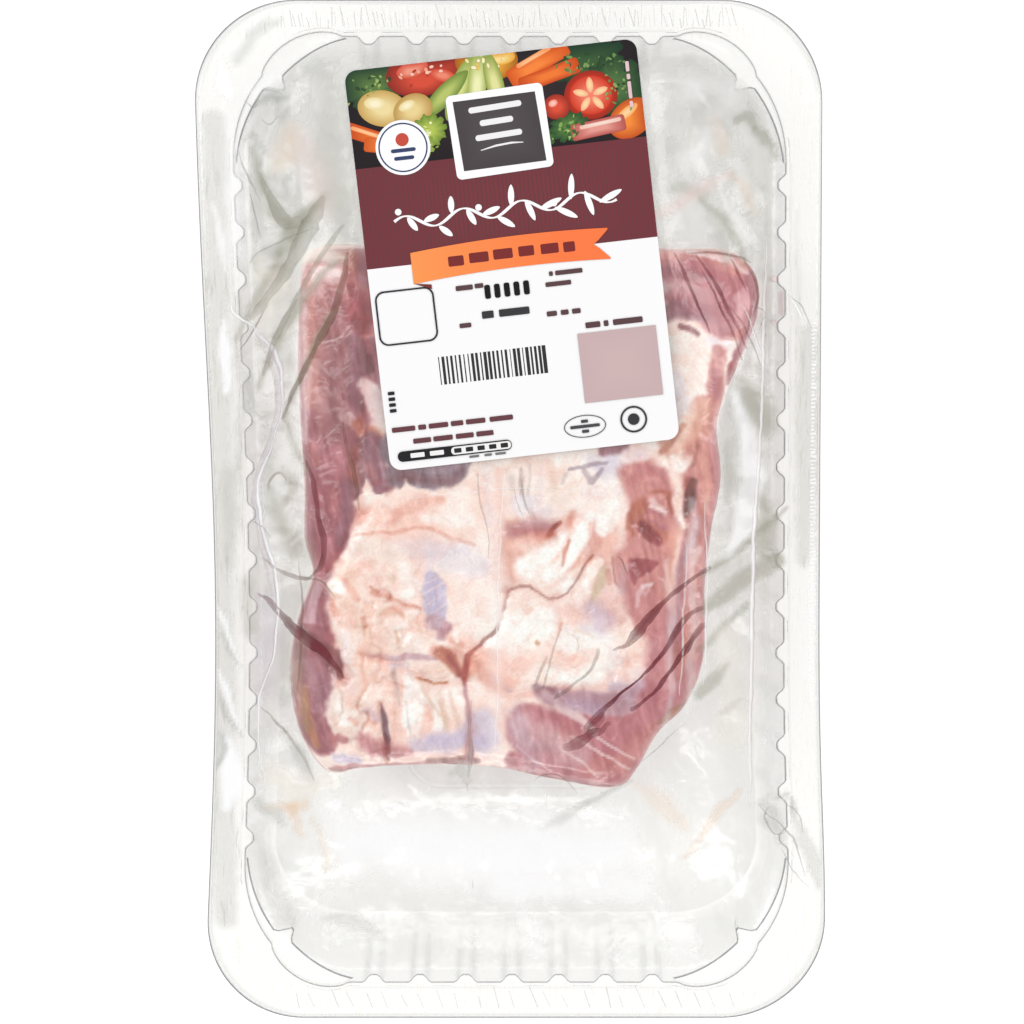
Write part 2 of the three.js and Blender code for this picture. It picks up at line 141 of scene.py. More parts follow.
add_lamp("left softbox", (-1100, 250, 1100), (500, 1500), 5.6)
add_lamp("right softbox", (1150, 100, 1000), (420, 1500), 4.6)
add_lamp("far softbox", (150, 1250, 900), (1500, 420), 3.5)
add_lamp("near strip", (-200, -1200, 1000), (1300, 180), 2.4)

scene.view_settings.view_transform = "Standard"
light_paths = scene.cycles
light_paths.transparent_max_bounces = 24
light_paths.max_bounces = 3
light_paths.diffuse_bounces = 1
light_paths.glossy_bounces = 2
light_paths.transmission_bounces = 1


# ---- Tray ----
# One sheet of clear PET, vacuum formed: a flat flange, upright flutes that stiffen the walls,
# a crescent ledge with a lug in each corner and a raised bead round the floor.
HALF_WIDTH = 80
HALF_LENGTH = 131
TRAY_HEIGHT = 40
TRAY_WALL = 0.6
FLANGE_WIDTH = 9.3
FLANGE_CORNER_RADIUS = 26
FLOOR_INSET = np.array((6.4, 11.8))  # sides, ends
WALL_FOOT_HEIGHT = 4
WALL_FOOT_ROUNDING = 2.2
FLUTE_PITCH = 12
FLUTE_DEPTH = 2
FLUTE_WIDTH = 6
CORNER_Y = 90  # the fluted stretches end here
CORNER_X = 42
LEDGE_DROP = 2.6
LEDGE_FALL = 0.5
BEAD_HALF = (27.5, 76)
BEAD_RADIUS = 9
BEAD_HEIGHT = 1.6
BEAD_FOOT = 2.6
STEPS_A_FLUTE = 16
STEPS_A_CORNER = 44
WIDEST_RADIUS = 99
BEND_HALF = 0.23  # half the width of the line that a sharp bend shows


def corner_plan(half_width, half_length, radius, share):
    """A corner in the first quadrant: straight, arc and straight, with share from 0 to 1."""
    rx = np.minimum(radius, half_width - CORNER_X)
    ry = np.minimum(radius, half_length - CORNER_Y)
    first = half_length - ry - CORNER_Y
    arc = (rx + ry) * math.pi / 4
    way = share * (first + arc + half_width - rx - CORNER_X)
    angle = np.clip((way - first) / arc, 0, 1) * math.pi / 2
    x = half_width - rx + rx * np.cos(angle) - np.maximum(way - first - arc, 0)
    y = half_length - ry + ry * np.sin(angle) - np.maximum(first - way, 0)
    return x, y


def pulled(x, y):
    """The vacuum's pull bows the long sides."""
    left = 5.3 * np.exp(-(((y + 28) / 100) ** 2)) - 1.5
    right = 1.9 * np.exp(-(((y + 105) / 40) ** 2)) - 1
    return x + np.where(x < 0, left, right) * np.abs(x) / HALF_WIDTH, y


def side_stops(long_side, sign):
    """Places along a side, in the order of travel: sign x, sign y, along, share, long, short."""
    end = CORNER_Y if long_side else CORNER_X
    places = np.linspace(-end, end, round(2 * end / FLUTE_PITCH * STEPS_A_FLUTE) + 1)[1:-1]
    if long_side:
        return [(sign, 1, sign * place, 0, 1, 0) for place in places]
    return [(1, sign, -sign * place, 0, 0, 1) for place in places]


def corner_stops(sign_x, sign_y):
    shares = np.linspace(0, 1, STEPS_A_CORNER + 1)[:: sign_x * sign_y]
    return [(sign_x, sign_y, 0, share, 0, 0) for share in shares]


stops = []
for long_side, sign, next_x, next_y in ((1, 1, 1, 1), (0, 1, -1, 1), (1, -1, -1, -1), (0, -1, 1, -1)):
    stops += side_stops(long_side, sign) + corner_stops(next_x, next_y)
side_x, side_y, along, corner_share, on_long, on_short = np.array(stops, float).T
on_corner = 1 - on_long - on_short


def ring_plan(inset_x, inset_y, radius=WIDEST_RADIUS):
    half_width, half_length = HALF_WIDTH - inset_x, HALF_LENGTH - inset_y
    x, y = corner_plan(half_width, half_length, radius, corner_share)
    x = np.where(on_long, half_width * side_x, np.where(on_short, along, x * side_x))
    y = np.where(on_long, along, np.where(on_short, half_length * side_y, y * side_y))
    return pulled(x, y)


# The bow makes the plan lopsided, so every piece is moved with the tray's middle
SHIFT = np.array((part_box("tray")[0].x / MM - ring_plan(0, 0, FLANGE_CORNER_RADIUS)[0].min(), 0, 0))

off_flute = np.abs((along + FLUTE_PITCH / 2) % FLUTE_PITCH - FLUTE_PITCH / 2)
rise = np.clip((1 - 2 * off_flute / FLUTE_WIDTH) / 0.75, 0, 1)
flute = FLUTE_DEPTH * np.where(on_corner, 0, rise * rise * (3 - 2 * rise))
flank = np.abs(np.roll(flute, 1) - np.roll(flute, -1)) / FLUTE_DEPTH  # steepness of a flute's sides
bulge = 2.4 * np.sin(math.pi * np.clip((corner_share - 0.48) / 0.5, 0, 1)) ** 0.6 * on_corner
ledge_width = np.where(corner_share < 0.5, 1.7, 3.1) * np.sin(math.pi * corner_share)
lug = 2.6 * np.clip(1.6 - np.abs(corner_share - 0.5) / 0.035, 0, 1)
ledge = FLANGE_WIDTH + 0.5 + ledge_width + lug


def bead_ring(grow, z):
    straight = np.array(BEAD_HALF) - BEAD_RADIUS
    angle = corner_share * math.pi / 2
    x = straight[0] + (BEAD_RADIUS + grow) * np.cos(angle)
    y = straight[1] + (BEAD_RADIUS + grow) * np.sin(angle)
    x = np.where(on_long, BEAD_HALF[0] + grow, x) * side_x
    y = np.where(on_short, BEAD_HALF[1] + grow, y) * side_y
    x = np.where(on_short, along / CORNER_X * straight[0], x)
    y = np.where(on_long, along / CORNER_Y * straight[1], y)
    return np.stack([x, y, np.full_like(x, z)], 1)


def tray_rings(under):
    """Rings of one face of the sheet from the rim to the floor's middle, each with its painted shade lines at
    sharp bends and on the flutes' sides.
    """
    wall = TRAY_WALL if under else 0
    low = 0 if under else TRAY_WALL
    rings = []

    def ring(inset_x, inset_y, z, line=0.0, radius=WIDEST_RADIUS):
        x, y = ring_plan(inset_x, inset_y, radius)
        line = 0 if under else line  # a line shows once, on the upper face
        rings.append((np.stack([x, y, z + 0 * x], 1), line + 0 * x))

    level = TRAY_HEIGHT - wall
    flange = FLANGE_WIDTH - bulge
    edge = flange + flute - wall
    ring(0, 0, level, 1, FLANGE_CORNER_RADIUS)
    ring(0.45, 0.45, level, 0.1, FLANGE_CORNER_RADIUS)
    ring(0.8, 0.8, level, 0.16, FLANGE_CORNER_RADIUS)
    for share, line in ((0.16, 0), (0.8, 0), (0.85, 0.1), (0.9, 0)):
        radius = FLANGE_CORNER_RADIUS + 6 * share
        ring(share * flange, share * flange, level, line * (1 - on_corner), radius)
    ring(edge - 0.5, edge - 0.5, level)
    ring(edge - BEND_HALF, edge - BEND_HALF, level - 0.02)
    ring(edge, edge, level - 0.1, np.where((side_x > 0) & (on_long > 0), 1, 0.8))
    ring(edge + BEND_HALF, edge + BEND_HALF, level - 0.35)

    # the wall leans in to its foot, from the flange's edge or from the ledge in a corner
    foot = FLANGE_WIDTH + 0.7 * flute - wall - WALL_FOOT_ROUNDING
    foot_x, foot_y = foot + FLOOR_INSET[0], foot + FLOOR_INSET[1]

    def wall_ring(drop, ledge_inset, ledge_drop, line=0.0):
        share = drop / (level - WALL_FOOT_HEIGHT)
        plain_x, plain_y = edge + (foot_x - edge) * share, edge + (foot_y - edge) * share
        inset_x = np.where(on_corner, ledge_inset, plain_x)
        inset_y = np.where(on_corner, ledge_inset, plain_y)
        # faint painted shade on the flutes' sides
        ring(inset_x, inset_y, level - np.where(on_corner, ledge_drop, drop), line * on_corner + 0.12 * flank)

    brink = ledge - wall
    wall_ring(1.3, edge + 0.3, 1.6)
    wall_ring(2.2, edge + 0.4, LEDGE_DROP)
    wall_ring(2.6, brink - 1.2 * BEND_HALF, LEDGE_DROP + 0.8 * LEDGE_FALL)
    wall_ring(2.9, brink, LEDGE_DROP + LEDGE_FALL, 1)
    wall_ring(3.2, brink + 1.2 * BEND_HALF, LEDGE_DROP + LEDGE_FALL + 0.6)
    for share in (0.12, 0.3, 0.5, 0.7, 0.88, 1):
        drop = 3.2 + (level - WALL_FOOT_HEIGHT - 3.2) * share
        plain = drop / (level - WALL_FOOT_HEIGHT)
        from_x = np.where(on_corner, brink + (foot_x - brink) * share, edge + (foot_x - edge) * plain)
        from_y = np.where(on_corner, brink + (foot_y - brink) * share, edge + (foot_y - edge) * plain)
        # faint painted shade on the flutes' sides, fading down the wall
        ring(from_x, from_y, level - drop, 0.2 * flank * (1 - share))
    floor_edge = FLANGE_WIDTH - 0.4 * wall
    for turn in (0.3, 0.6, 0.85, 1):
        turned = 1 - math.cos(turn * math.pi / 2)
        inset = foot + (floor_edge - foot) * turned
        z = WALL_FOOT_HEIGHT + (low - WALL_FOOT_HEIGHT) * math.sin(turn * math.pi / 2)
        ring(inset + FLOOR_INSET[0], inset + FLOOR_INSET[1], z, 0.12 if turn == 1 else 0)
    outer = rings[-1][0]
    beads = [bead_ring(BEAD_FOOT / 2 * g, low + BEAD_HEIGHT * h) for g, h in
             ((1, 0), (0.6, 0.45), (0.25, 0.9), (0, 1), (-0.25, 0.9), (-0.6, 0.45), (-1, 0))]
    for share in (0.35, 0.7):
        rings.append((outer + (beads[0] - outer) * share, 0 * corner_share))
    rings += [(bead, 0 * corner_share) for bead in beads]
    for share in (0.6, 0.25):
        rings.append((beads[-1] * (share, share, 1), 0 * corner_share))
    return rings


def band(first, second, count):
    """Quads between two rings that start at these points."""
    i = np.arange(count)
    j = (i + 1) % count
    return np.stack([first + i, first + j, second + j, second + i], 1)


points, bend_shade_lines, faces = [], [], []
count = len(side_x)
for under in (False, True):
    rings = tray_rings(under)
    start = sum(len(p) for p in points)
    for i, (ring, line) in enumerate(rings):
        points.append(ring)
        bend_shade_lines.append(line)
        if i:
            quads = band(start + (i - 1) * count, start + i * count, count)
            faces += (quads[:, ::-1] if under else quads).tolist()
    middle = start + len(rings) * count
    points.append(np.array([[0, 0, rings[-1][0][0, 2]]]))
    bend_shade_lines.append(np.zeros(1))
    last = middle - count
    spokes = [(last + i, last + (i + 1) % count, middle) for i in range(count)]
    faces += [spoke[::-1] for spoke in spokes] if under else spokes
    if under:
        faces += band(start, 0, count).tolist()


def add_gloss(tree, body, edge_on, relief, roughness, power, least):
    """A clear sheet's reflections over its body: this much of them face on, and more edge-on."""
    gloss = add_node(
        tree, "ShaderNodeBsdfGlossy", {"Color": colour("#ffffff"), "Roughness": roughness},
        {"Normal": relief},
    )
    glancing = add_node(
        tree, "ShaderNodeMath", {"operation": "POWER", 1: power}, {0: edge_on.outputs["Facing"]}
    )
    mirror = add_node(tree, "ShaderNodeMath", {"operation": "MULTIPLY_ADD", 1: 0.9, 2: least}, {0: glancing})
    sheen = add_node(tree, "ShaderNodeMixShader", links={0: mirror, 1: body, 2: gloss})
    set_surface(tree, sheen)


def let_light_in(piece):
    """Light reaches what lies under this clear sheet as if it weren't there."""
    piece.visible_shadow = False
    piece.visible_diffuse = False


def set_values(piece, name, values):
    """A number or a colour for every point of the mesh."""
    values = np.asarray(values, np.float32)
    kind = "FLOAT" if values.ndim == 1 else "FLOAT_COLOR"
    layer = piece.data.attributes.new(name, kind, "POINT")
    layer.data.foreach_set("value" if values.ndim == 1 else "color", values.ravel())


# Clear PET sheet, 0.6 mm: nearly all light goes through. A dark grey is painted in as shade,
# more where the sheet is seen edge-on, and as a thin painted shade line at a sharp bend
pet, tree = new_material("clear PET sheet, vacuum formed")
clear = add_node(tree, "ShaderNodeBsdfTransparent", {"Color": colour("#fdfdfc")})
painted_sheet_shade = add_node(tree, "ShaderNodeBsdfDiffuse", {"Color": colour("#474e56")})
bend = add_node(tree, "ShaderNodeAttribute", {"attribute_name": "bend"})
edge_on = add_node(tree, "ShaderNodeLayerWeight", {"Blend": 0.5})
place = add_node(tree, "ShaderNodeTexCoord").outputs["Object"]
drawn = add_node(tree, "ShaderNodeTexNoise", {"Scale": 1 / (14 * MM), "Detail": 3}, {"Vector": place})
ripple = add_node(tree, "ShaderNodeBump", {"Strength": 0.25, "Distance": 0.6 * MM}, {"Height": drawn})
edge_on_shade = add_node(
    tree, "ShaderNodeMath", {"operation": "MULTIPLY_ADD", 1: 0.09, 2: 0}, {0: edge_on.outputs["Facing"]}
)
lined = add_node(
    tree, "ShaderNodeMath", {"operation": "MULTIPLY_ADD", 1: 0.95}, {0: bend.outputs["Fac"], 2: edge_on_shade}
)
body = add_node(tree, "ShaderNodeMixShader", links={0: lined, 1: clear, 2: painted_sheet_shade})
add_gloss(tree, body, edge_on, ripple, 0.06, 5, 0.035)

tray = new_object("clear_tray", np.concatenate(points) + SHIFT, faces, pet)
set_values(tray, "bend", np.concatenate(bend_shade_lines))
let_light_in(tray)
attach(tray, "root")
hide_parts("tray")


# ---- Meat ----
# A slab of fresh pork belly, lean and fat in layers over the rind, wet and pressed flat by the
# film. It is one cut piece, lies loose on the tray's bead and is held by the vacuum.
MEAT_CENTRE = np.array((0, -2))
MEAT_TOP = 36.6
MEAT_BASE = 2.5
MEAT_SHOULDER = 0.9
MEAT_CROWN = 1.6
MEAT_OUTLINE = np.array([
    (-52.5, 66), (-55.5, 46), (-55, 20), (-54, 5), (-54, -8), (-52, -17), (-55.5, -27), (-57.5, -36),
    (-58, -47), (-54.5, -61), (-47.5, -69.5), (-40, -68.3), (-20, -67.3), (-3, -68.3), (10, -71),
    (28.5, -73), (33, -68), (38.5, -58.5), (45, -52), (50, -40), (50.5, -20), (52, -6), (54.5, 8),
    (53.5, 22), (56, 31), (60, 40), (64, 52), (63.5, 61), (58, 66.5), (38, 68), (0, 68), (-34, 68.5),
])
MEAT_CORNERS = ((-52.8, 66.8), (-49.5, -68.4), (29.5, -72.6), (60.5, 65))  # upper left, anticlockwise
GRID = (252, 300)
TOP_SHARE = 0.985  # where the top's grid ends and the sides begin


def closed_curve(corners, steps):
    """A centripetal Catmull-Rom curve through a closed list of points."""
    before, here, there, after = (np.roll(corners, k, 0) for k in (1, 0, -1, -2))
    gap = [np.sqrt(np.linalg.norm(b - a, axis=1))[:, None] for a, b in
           ((before, here), (here, there), (there, after))]
    leave = (here - before) / gap[0] - (there - before) / (gap[0] + gap[1]) + (there - here) / gap[1]
    arrive = (there - here) / gap[1] - (after - here) / (gap[1] + gap[2]) + (after - there) / gap[2]
    leave, arrive = leave * gap[1], arrive * gap[1]
    t = np.linspace(0, 1, steps, endpoint=False)[None, :, None]
    here, there, leave, arrive = (v[:, None, :] for v in (here, there, leave, arrive))
    curve = here + leave * t + (3 * (there - here) - 2 * leave - arrive) * t**2
    return (curve + (leave + arrive - 2 * (there - here)) * t**3).reshape(-1, 2)


outline = closed_curve(MEAT_OUTLINE, 40)


def stretch(start, end, steps):
    """Evenly spaced points of the outline from one of its places to another, anticlockwise."""
    first, last = (np.argmin(np.linalg.norm(outline - place, axis=1)) for place in (start, end))
    run = np.roll(outline, -first, 0)[: (last - first) % len(outline) + 1]
    way = np.concatenate([[0], np.cumsum(np.linalg.norm(np.diff(run, axis=0), axis=1))])
    even = np.linspace(0, way[-1], steps)
    return np.stack([np.interp(even, way, run[:, k]) for k in (0, 1)], 1)


# The top is a grid stretched between the four sides of the outline
upper_left, lower_left, lower_right, upper_right = MEAT_CORNERS
left_side = stretch(upper_left, lower_left, GRID[1])[::-1]
near_side = stretch(lower_left, lower_right, GRID[0])
right_side = stretch(lower_right, upper_right, GRID[1])
far_side = stretch(upper_right, upper_left, GRID[0])[::-1]
u = np.linspace(0, 1, GRID[0])[None, :, None]
v = np.linspace(0, 1, GRID[1])[:, None, None]
plan = (1 - v) * near_side[None] + v * far_side[None] + (1 - u) * left_side[:, None] + u * right_side[:, None]
plan -= (1 - u) * (1 - v) * near_side[0] + u * (1 - v) * near_side[-1]
plan -= (1 - u) * v * far_side[0] + u * v * far_side[-1]
plan = MEAT_CENTRE + (plan.reshape(-1, 2) - MEAT_CENTRE) * TOP_SHARE


def bearing_and_reach(places):
    away = places - MEAT_CENTRE
    return np.arctan2(away[:, 1], away[:, 0]), np.hypot(away[:, 0], away[:, 1])


edge_bearing, edge_reach = bearing_and_reach(outline)
in_order = np.argsort(edge_bearing)
edge_bearing, edge_reach = edge_bearing[in_order], edge_reach[in_order]


CLOUD_CELLS = 97


def clouds(x, y, size, seed, octaves=4):
    """Soft noise from about -1 to 1, with its largest blobs this many millimetres across."""
    draw = np.random.default_rng(seed)
    total, weight = 0, 1.0
    for _ in range(octaves):
        lattice = draw.uniform(-1, 1, (CLOUD_CELLS, CLOUD_CELLS))
        column, row = x / size + 40.3, y / size + 51.7
        i, j = np.floor(column).astype(int), np.floor(row).astype(int)
        s, t = column - i, row - j
        s, t = s * s * (3 - 2 * s), t * t * (3 - 2 * t)
        i, j, i2, j2 = (k % CLOUD_CELLS for k in (i, j, i + 1, j + 1))
        low = lattice[i, j] * (1 - s) + lattice[i2, j] * s
        high = lattice[i, j2] * (1 - s) + lattice[i2, j2] * s
        total = total + weight * (low * (1 - t) + high * t)
        weight, size = weight * 0.5, size * 0.49
    return total


def ragged(x, y, amount):
    """Places moved by noise, which frays the edges of what is painted there."""
    shift_x = 0.9 * clouds(x, y, 8, 11, 3) + 0.5 * clouds(x, y, 2.4, 12, 3)
    shift_y = 0.9 * clouds(x, y, 8, 13, 3) + 0.5 * clouds(x, y, 2.4, 14, 3)
    return x + amount * shift_x, y + amount * shift_y


def stroke_cover(x, y, chain, blur):
    """How far a brush stroke covers each place: 1 inside, easing to 0 over the blur."""
    chain = np.array(chain, float)
    least = np.full(x.shape, np.inf)
    if len(chain) == 1:
        least = np.hypot(x - chain[0, 0], y - chain[0, 1]) - chain[0, 2]
    for (ax, ay, ar), (bx, by, br) in zip(chain[:-1], chain[1:]):
        dx, dy = bx - ax, by - ay
        t = np.clip(((x - ax) * dx + (y - ay) * dy) / (dx * dx + dy * dy), 0, 1)
        least = np.minimum(least, np.hypot(x - ax - t * dx, y - ay - t * dy) - ar - (br - ar) * t)
    t = np.clip(0.5 - least / (2 * blur), 0, 1)
    return t * t * (3 - 2 * t)


def read_strokes(text, amount, usual):
    """Brush strokes from text, one a line: colour; settings; x y radius, x y radius and so on.

    The settings are this amount of numbers, and the last is left out where it is the usual one,
    as a radius is where it stays the same. An indented line carries on the one before, and #
    opens a note.
    """
    strokes = []
    for line in text.replace("\n ", " ").splitlines():
        if line and line[0] != "#":
            name, settings, chain = line.split("; ")
            settings = [float(word) for word in settings.split()]
            settings += [usual] * (amount - len(settings))
            places = []
            for place in chain.split(", "):
                x, y, *radius = [float(word) for word in place.split()]
                places.append([x, y, *(radius or places[-1][2:])])
            strokes.append((name, *settings, places))
    return strokes


def paint(x, y, shades, strokes, palette):
    """Lays strokes over colours: colour, strength, blur, fray and the places with their radius."""
    frayed = {fray: ragged(x, y, fray) for fray in {stroke[3] for stroke in strokes}}
    for name, strength, blur, fray, chain in strokes:
        xs, ys = frayed[fray]
        reach = np.array(chain, float)
        low, high = reach[:, :2].min(0), reach[:, :2].max(0)
        margin = reach[:, 2].max() + blur
        beside = (xs > low[0] - margin) & (xs < high[0] + margin)
        near = np.flatnonzero(beside & (ys > low[1] - margin) & (ys < high[1] + margin))
        cover = strength * stroke_cover(xs[near], ys[near], chain, 0.65 * blur)[:, None]
        shades[near] += (palette[name] - shades[near]) * cover


def srgb(hex_code):
    return np.array([int(hex_code[i : i + 2], 16) / 255 for i in (1, 3, 5)])


def to_linear(shades):
    shades = np.clip(shades, 0, 1)
    linear = np.where(shades <= 0.04045, shades / 12.92, ((shades + 0.055) / 1.055) ** 2.4)
    return np.concatenate([linear, np.ones((len(linear), 1))], 1)


MEAT_COLOURS = {name: srgb(code) for name, code in {
    "fat": "#ffe9de", "cream": "#fff8f1", "ivory": "#f5e0d4", "blush": "#f6c6b6", "peach": "#f1c9b5",
    "salmon": "#dd9985", "lean": "#a5626a", "rose": "#bd7479", "pale rose": "#cb847e", "mauve": "#935a66",
    "plum": "#834c57", "wine": "#77343d", "blood": "#9a3a42", "rust": "#b4634c", "umber": "#8d564c",
    "lavender": "#e8dbdf", "lilac": "#d0c2d2", "violet": "#b9a8c4", "web": "#f2dcda", "tan": "#dabfa6",
    "amber": "#bf8055", "grey": "#b5a4a3", "slate": "#947b84", "dusk": "#c9a6ae",
}.items()}
